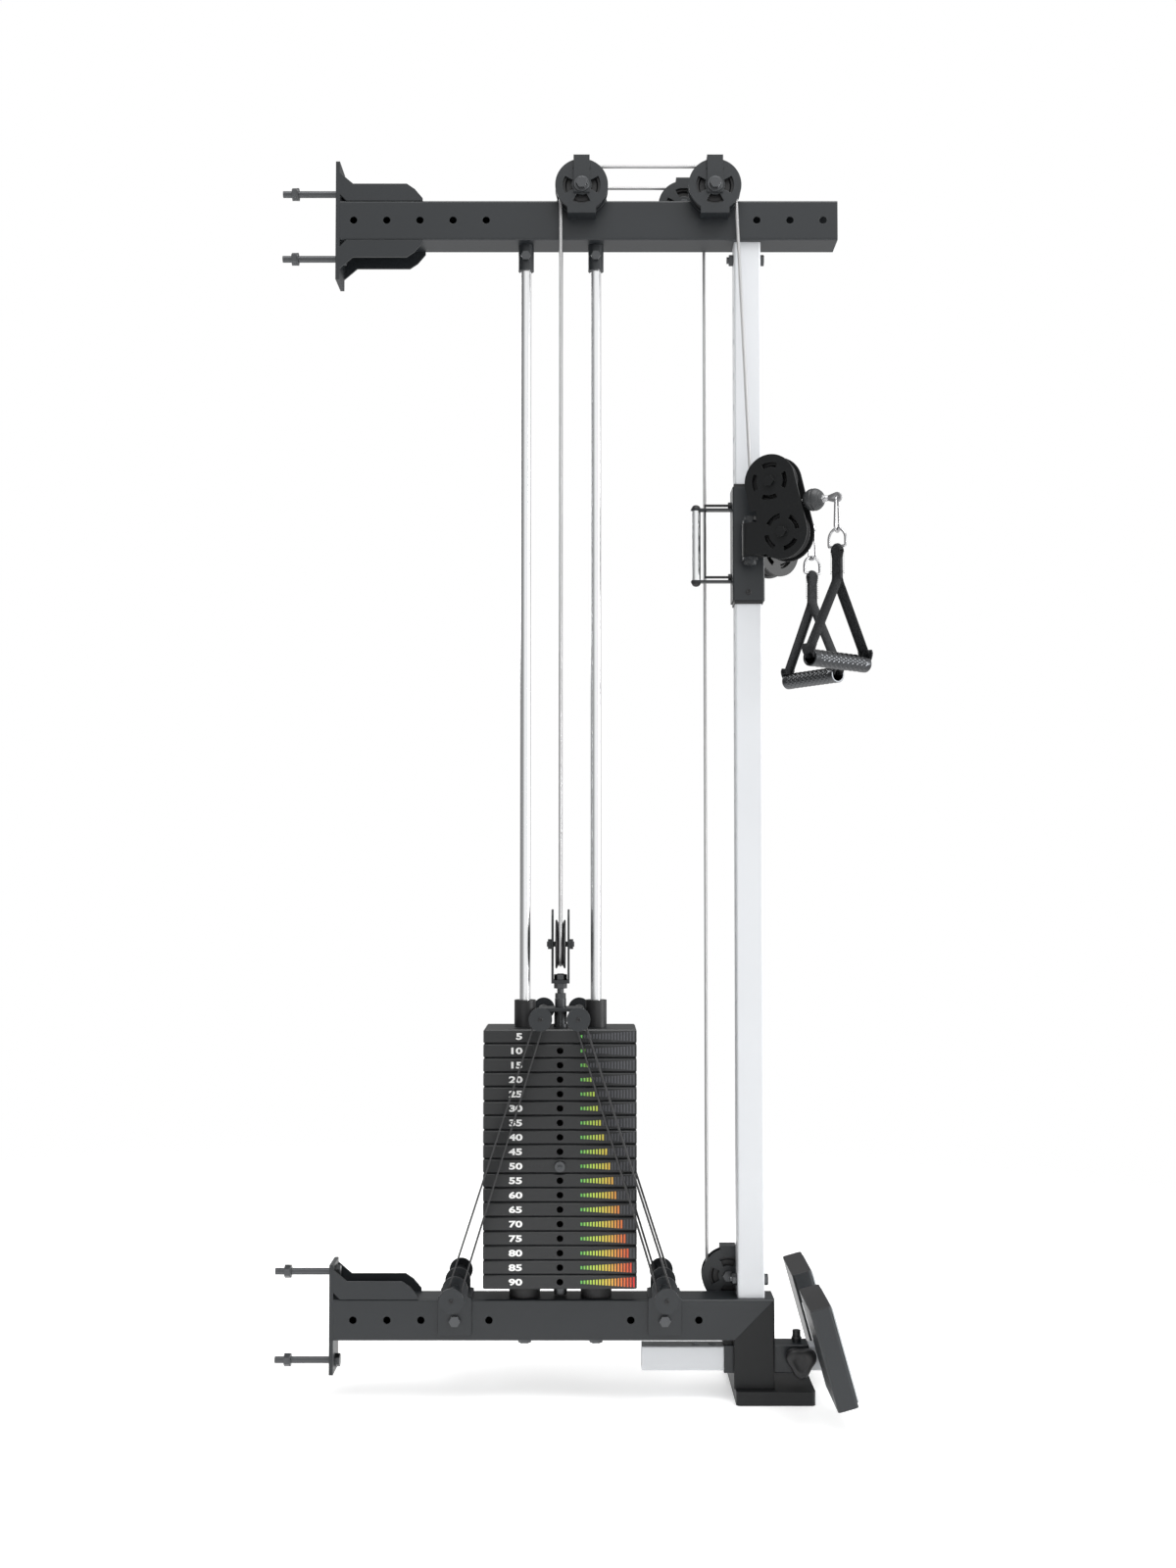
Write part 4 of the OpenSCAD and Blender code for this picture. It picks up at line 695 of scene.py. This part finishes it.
def weave_on(paint, pitch):
    """Ribs of a herringbone weave on the piece's own UV map, in metres."""
    tree = paint.node_tree
    axes = axes_of(tree, "ShaderNodeUVMap", "UV")
    zigzag = chain(tree, "PINGPONG", chain(tree, "MULTIPLY", axes["Y"], 4 / strap_w), 1.0)
    slant = chain(tree, "MULTIPLY_ADD", zigzag, pitch * 1.5, axes["X"])
    wave = chain(tree, "SINE", chain(tree, "MULTIPLY", slant, 2 * math.pi / pitch))
    rows = chain(tree, "SINE", chain(tree, "MULTIPLY", axes["Y"], 2 * math.pi / thread_w))
    height = chain(tree, "MULTIPLY_ADD", rows, 0.3, wave)
    # Colour follows the weave's relief: painted shade in the valleys and painted highlight on
    # the ribs.
    shade = chain(tree, "MULTIPLY_ADD", height, 0.25, 0.6)
    two_colours(tree, shade, (0.0025, 0.003, 0.0035), (0.012, 0.0135, 0.016))
    raise_by(tree, height, 0.0002)
    tree.nodes["Principled BSDF"].inputs["Specular IOR Level"].default_value = 0.35


weave_on(webbing_paint, rib_pitch)


def webbing(name, route, thick, cup):
    """A ribbon on a route in the x-z plane, its width along y; cup curls it in the grip."""
    spread, total = even_points(route, 0.002)
    bpy.ops.object.select_all(action="DESELECT")
    bpy.ops.mesh.primitive_grid_add(x_subdivisions=len(spread) - 1, y_subdivisions=12, size=2)
    obj = bpy.context.object
    for vertex in obj.data.vertices:
        i = round((vertex.co.x + 1) / 2 * (len(spread) - 1))
        across = vertex.co.y * strap_w / 2
        share = cup(spread[i])
        curl_r = grip_bore - thick / 2 - 0.0003
        bend = across / curl_r
        vertex.co = (spread[i].x,
                     (1 - share) * across + share * curl_r * math.sin(bend),
                     spread[i].z - share * curl_r * (1 - math.cos(bend)))
    for corner in obj.data.uv_layers[0].data:
        corner.uv.x *= total
        corner.uv.y *= strap_w
    use_modifier(obj, "SOLIDIFY", thickness=thick, offset=0)
    use_modifier(obj, "BEVEL", width=0.0007, segments=2, limit_method="ANGLE",
                 angle_limit=math.radians(60))
    obj.name = obj.data.name = name
    return obj


def half_strap(name, s):
    """From over the ring's bar down the sewn part and one leg into the grip's end."""
    out = s * (grip_half + 0.0025)
    mouth_z = -grip_drop + grip_bore - strap_t / 2 - 0.0003
    ring_r = 0.002 + 0.0003 + strap_t / 2
    turn_r = 0.0035
    route = (arc((0, 0, ring_bar_z), Vector((s, 0, 0)), Z, ring_r, 90, 10, 8)
             + [Vector((s * strap_t / 2, 0, ring_bar_z - 0.010))]
             + [Vector((s * strap_t / 2, 0, sewn_z + 0.002)),
                Vector((s * (strap_t / 2 + 0.001), 0, sewn_z - 0.002))]
             + [Vector((out - s * 0.0004, 0, mouth_z + turn_r + 0.004))]
             + arc((out - s * turn_r, 0, mouth_z + turn_r), Vector((s, 0, 0)), Z, turn_r,
                   0, -90, 8)
             + [Vector((s * 0.030, 0, mouth_z))])

    def cup(place):
        inward = (-place.z - grip_drop + 0.0165) / 0.009 if abs(place.x) > 0.064 else 1.0
        share = min(1.0, max(0.0, inward))
        return share * share * (3 - 2 * share)

    return webbing(name, route, strap_t, cup)


def stitches(name):
    """Rows of thread over the sewn part, as a box with a cross."""
    spots = []
    half_y, low, high = 0.0095, sewn_z + 0.004, ring_bar_z - 0.008
    for i in range(11):
        z = low + (high - low) * i / 10
        spots += [(-half_y, z, 0), (half_y, z, 0)]
    for i in range(6):
        y = half_y * (2 * i / 5 - 1)
        spots += [(y, low, 90), (y, high, 90)]
    tilt = math.degrees(math.atan2(2 * half_y, high - low))
    for i in range(1, 12):
        y, z = half_y * (2 * i / 12 - 1), low + (high - low) * i / 12
        spots += [(y, z, tilt), (-y, z, -tilt)]
    parts = []
    for s in (-1, 1):
        for y, z, turn in spots:
            bpy.ops.object.select_all(action="DESELECT")
            bpy.ops.mesh.primitive_uv_sphere_add(segments=8, ring_count=5, radius=1)
            bead = bpy.context.object
            bead.scale = (0.0003, 0.0003, 0.0012)
            bead.rotation_euler = (-math.radians(turn), 0, 0)
            bead.location = (s * (strap_t + 0.0001), y, z)
            parts.append(bead)
    thread = joined(name, parts)
    return settle(thread)


def knurled_grip(name):
    """Hollow grip on the z axis: stations up the outside, then back down the bore."""
    around, rows = 104, 110
    knurl_half, knurl_deep, starts, lead = 0.056, 0.0006, 13, 0.011
    outside = [(-grip_half, grip_r - 0.0006), (-grip_half + 0.0006, grip_r)]
    outside += [(-knurl_half + 2 * knurl_half * i / rows, grip_r) for i in range(rows + 1)]
    outside += [(grip_half - 0.0006, grip_r), (grip_half, grip_r - 0.0006)]
    inside = [(grip_half, grip_bore + 0.0005), (grip_half - 0.0005, grip_bore),
              (-grip_half + 0.0005, grip_bore), (-grip_half, grip_bore + 0.0005),
              (-grip_half, grip_r - 0.0006)]
    obj = turned(name, outside + inside, around, first_cap=False, last_cap=False)
    alone(obj)
    bpy.ops.object.mode_set(mode="EDIT")
    bpy.ops.mesh.select_all(action="SELECT")
    bpy.ops.mesh.remove_doubles(threshold=0.00001)
    close()
    for vertex in obj.data.vertices:
        place = vertex.co
        radius = math.hypot(place.x, place.y)
        if radius < grip_r - 0.0003 or abs(place.z) > knurl_half:
            continue
        around_share = math.atan2(place.y, place.x) / (2 * math.pi) * starts
        along_share = place.z / lead
        tents = [1 - abs(2 * ((around_share + k * along_share) % 1) - 1) for k in (-1, 1)]
        fade = min(1.0, (knurl_half - abs(place.z)) / 0.002)
        depth = knurl_deep * fade * (1 - min(1.0, 1.6 * min(tents)))
        place.x *= 1 - depth / radius
        place.y *= 1 - depth / radius
    return obj


for side, word, turn in ((FRONT, "front", 45), (REAR, "rear", -60)):
    eye = at_hinge(side) @ Vector((eye_u, 0, eye_z))
    at_eye = Matrix.Translation(eye)
    link_frame = at_eye @ Matrix.Rotation(math.radians(90) + heading[side], 4, "Z")
    ring_frame = at_eye @ Matrix.Rotation(math.radians(turn + 90), 4, "Z")
    grip_frame = at_eye @ Matrix.Rotation(math.radians(turn), 4, "Z")
    handle, grip_body = f"{word}_handle", f"{word}_handle_grip"

    link_route = ([Vector((0.0078, 0, -0.038))]
                  + arc((0, 0, link_low_z), X, Z, link_low_r, 0, -180, 14)
                  + arc((0, 0, link_top_z), X, Z, link_top_r, 180, 0, 14)
                  + [Vector((0.0056, 0, -0.012))])
    hook = wire(f"{word}_link", link_route, wire_r, 0.0015)
    gate = wire(f"{word}_gate", [(0.0058, 0, -0.0135), (0.0077, 0, -0.037)], gate_r, 0.003)
    side_x, foot_z = ring_half - ring_corner, ring_bar_z + ring_corner
    ring_route = ([Vector((ring_half, 0, ring_bar_z + 0.003)),
                   Vector((ring_half, 0, ring_arc_z))]
                  + arc((0, 0, ring_arc_z), X, Z, ring_half, 0, 180, 20)
                  + [Vector((-ring_half, 0, ring_bar_z + 0.003))]
                  + arc((-side_x, 0, foot_z), X, Z, ring_corner, 180, 270, 5)
                  + arc((side_x, 0, foot_z), X, Z, ring_corner, 270, 360, 5))
    ring = wire(f"{word}_ring", ring_route, wire_r, 0.0015, closed=True)
    link = joined(f"{word}_snap_link", [settle(hook, link_frame), settle(gate, link_frame),
                                        settle(ring, ring_frame)])
    present(link, steel, handle, (f"{word}_clip",))

    strap = joined(f"{word}_webbing", [half_strap(f"{word}_leg_a", -1),
                                       half_strap(f"{word}_leg_b", 1)])
    present(settle(strap, grip_frame), webbing_paint, handle, (f"{word}_strap",))
    present(settle(stitches(f"{word}_stitches"), grip_frame), webbing_paint, handle, ())
    grip = knurled_grip(f"{word}_knurled_grip")
    lay_down = Matrix.Translation((0, 0, -grip_drop)) @ TO_X
    present(settle(grip, grip_frame @ lay_down), grip_steel, grip_body, (f"{word}_grip",),
            smooth=25)

# Weight plates: numbers printed in white to the left of the selector holes and, to the right,
# a gauge of eighteen bars. Plate n has n bars in colour, green to red, and the rest grey.
white_print = hard_finish("white_print", (0.86, 0.86, 0.85), 0.5, depth=0.15, cloud=0.1)
grey_print = hard_finish("grey_print", (0.058, 0.060, 0.068), 0.5, depth=0.15, cloud=0.1)
plate_face_y = -0.050
plate_pitch, plate_count, first_plate_z = 0.021, 18, 0.0495
plate_middle = 0.0103
lifted_count = 10
number_right_x = stack_x - 0.055
number_height = 0.0099
gauge_x, gauge_step, bar_w = stack_x + 0.0315, 0.0045, 0.0027
bar_low, bar_high = 0.0044, 0.0146
print_t = 0.0002


def gauge_finish():
    paint = hard_finish("gauge_print", (0.5, 0.5, 0.1), 0.5, depth=0.15)
    tree = paint.node_tree
    spread = ranged(tree, axes_of(tree)["X"], gauge_x, gauge_x + 17 * gauge_step, 0.0, 1.0)
    ramp = tree.nodes.new("ShaderNodeValToRGB")
    stops = ramp.color_ramp.elements
    stops[0].color = (0.13, 0.50, 0.10, 1)
    stops[1].position, stops[1].color = 1.0, (0.78, 0.035, 0.03, 1)
    for position, colour in ((0.24, (0.50, 0.66, 0.08, 1)), (0.50, (0.80, 0.58, 0.07, 1)),
                             (0.72, (0.84, 0.24, 0.05, 1))):
        stop = stops.new(position)
        stop.color = colour
    tree.links.new(spread, ramp.inputs["Fac"])
    tree.links.new(ramp.outputs["Color"], skin_of(tree).inputs["Colour"])
    return paint


gauge_print = gauge_finish()


def plate_z(row):
    return first_plate_z + (plate_count - row) * plate_pitch + plate_middle


def number_on(row):
    """The plate's number as raised print, its right side at number_right_x."""
    bpy.ops.object.select_all(action="DESELECT")
    bpy.ops.object.text_add(location=(0, 0, 0))
    text = bpy.context.object
    text.data.body = str(5 * row)
    text.data.size = 0.0140
    text.data.offset = 0.00055
    text.data.extrude = print_t / 2
    text.data.resolution_u = 4
    text.data.align_x, text.data.align_y = "RIGHT", "CENTER"
    text.scale = (1.42, 1, 1)
    alone(text)
    bpy.ops.object.convert(target="MESH")
    digits = settle(bpy.context.object)
    tops = [v.co.y for v in digits.data.vertices]
    grow = number_height / (max(tops) - min(tops))
    middle = (max(tops) + min(tops)) / 2
    place = (Matrix.Translation((number_right_x, plate_face_y - print_t / 2, plate_z(row)))
             @ Matrix.Rotation(math.radians(90), 4, "X")
             @ Matrix.Diagonal((1, grow, 1, 1)) @ Matrix.Translation((0, -middle, 0)))
    digits.data.transform(place)
    return digits


def choose(obj, test):
    """Opens the mesh with the faces selected for which test(centre, normal) holds."""
    alone(obj)
    bpy.ops.object.mode_set(mode="EDIT")
    bpy.ops.mesh.select_mode(type="FACE")
    bpy.ops.mesh.select_all(action="DESELECT")
    bpy.ops.object.mode_set(mode="OBJECT")
    for face in obj.data.polygons:
        face.select = bool(test(face.center, face.normal))
    bpy.ops.object.mode_set(mode="EDIT")


bpy.ops.object.select_all(action="DESELECT")
bpy.ops.mesh.primitive_cube_add(size=1)
bar_model = bpy.context.object
bar_model.scale = (bar_w, print_t, 1)
settle(bar_model)
choose(bar_model, lambda centre, normal: normal.y < -0.5)
bpy.ops.mesh.inset(thickness=0.0001)
bpy.ops.object.mode_set(mode="OBJECT")


def gauge_bars(row, lit):
    parts = []
    for i in range(plate_count):
        if (i < row) != lit:
            continue
        tall = bar_low + (bar_high - bar_low) * i / (plate_count - 1)
        bar = bar_model.copy()
        bar.data = bar_model.data.copy()
        bpy.context.scene.collection.objects.link(bar)
        bar.data.transform(
            Matrix.Translation((gauge_x + i * gauge_step, plate_face_y - print_t / 2,
                                plate_z(row))) @ Matrix.Diagonal((1, 1, tall, 1)))
        parts.append(bar)
    return parts


for body, rows, word in (("lifted_stack", range(1, lifted_count + 1), "lifted"),
                         ("root", range(lifted_count + 1, plate_count + 1), "resting")):
    numbers = [number_on(row) for row in rows]
    present(joined(f"{word}_numbers", numbers), white_print, body)
    lit = [bar for row in rows for bar in gauge_bars(row, True)]
    present(joined(f"{word}_gauge", lit), gauge_print, body)
    unlit = [bar for row in rows for bar in gauge_bars(row, False)]
    present(joined(f"{word}_gauge_grey", unlit), grey_print, body)
bpy.data.objects.remove(bar_model)

# Small hardware: a socket screw in the end of each band peg and one in the sleeve's face,
# domed caps on the bolts of the carriage's grip, and a bare steel face on the selector pin.
TO_FRONT = Matrix.Rotation(math.radians(90), 4, "X")
TO_REAR = Matrix.Rotation(math.radians(-90), 4, "X")
UPSIDE_DOWN = Matrix.Rotation(math.radians(180), 4, "X")
peg_end_y = 0.107
grip_bolt_x, grip_low_z, grip_high_z = 0.544, 1.0945, 1.2065


def socket_screw(name, radius, place, turn):
    head = turned(name, [(0, radius), (0.0009, radius), (0.0013, 0.84 * radius),
                         (0.0013, 0.52 * radius), (0.0003, 0.48 * radius)], 24)
    return settle(head, Matrix.Translation(place) @ turn)


peg_screws = {"lifted_stack": [], "root": []}
for body, height, peg_xs in (("lifted_stack", peg_top_z, (0.312, 0.367)),
                             ("root", peg_low_z, (0.185, 0.4935))):
    for x in peg_xs:
        for side, turn in ((FRONT, TO_FRONT), (REAR, TO_REAR)):
            peg_screws[body].append(
                socket_screw(f"peg_screw_{x}", 0.0034, (x, side * peg_end_y, height), turn))
    present(joined(f"{body}_peg_screws", peg_screws[body]), moulded, body)

set_screw = socket_screw("sleeve_set_screw", 0.0042, (0.6212, -0.025, 1.077), TO_FRONT)
present(set_screw, moulded, "carriage")

caps = []
for z, turn in ((grip_low_z, UPSIDE_DOWN), (grip_high_z, Matrix.Identity(4))):
    cap = turned("grip_cap", [(-0.0002, 0.0070), (0.0012, 0.0070), (0.0035, 0.0058),
                              (0.0052, 0.0040), (0.0060, 0.0016)], 32)
    caps.append(settle(cap, Matrix.Translation((grip_bolt_x, 0, z)) @ turn))
present(joined("grip_bolt_caps", caps), moulded, "carriage", smooth=60)

pin_low, pin_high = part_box("selector_pin")
pin_face = turned("pin_face", [(-0.0002, 0.0034), (0.0003, 0.0034), (0.0005, 0.0030)], 32)
settle(pin_face, Matrix.Translation((stack_x, pin_low.y, (pin_low.z + pin_high.z) / 2))
       @ TO_FRONT)
present(pin_face, grip_steel, "pin", ())

# Clamping knob: a moulded nylon body with three soft lobes and a dished face, pressed on a
# blackened steel screw that clamps the sliding tube in its sleeve.
knob_x, knob_z, lobe_swell, lobe_turn = 0.693, -0.059, 0.16, math.radians(90)
knob_place = Matrix.Translation((knob_x, 0, knob_z)) @ TO_FRONT
knob_body = turned("knob_body", [
    (0.0241, 0.0130), (0.0245, 0.0190), (0.0258, 0.0205), (0.0300, 0.0212), (0.0370, 0.0212),
    (0.0405, 0.0205), (0.0425, 0.0185), (0.0434, 0.0155), (0.0434, 0.0120),
    (0.0426, 0.0100), (0.0424, 0.0040)], 72)
for vertex in knob_body.data.vertices:
    round_it = math.atan2(vertex.co.y, vertex.co.x)
    spread = math.hypot(vertex.co.x, vertex.co.y)
    lobe = 1 + lobe_swell * math.cos(3 * round_it - lobe_turn) * min(1.0, spread / 0.018)
    vertex.co.x *= lobe
    vertex.co.y *= lobe
present(settle(knob_body, knob_place), moulded, "knob", ("clamp_knob",), smooth=60)
knob_screw = turned("knob_screw", [(0.0180, 0.0042), (0.0186, 0.0050), (0.0245, 0.0050)], 32)
present(settle(knob_screw, knob_place), black_steel, "knob", ())
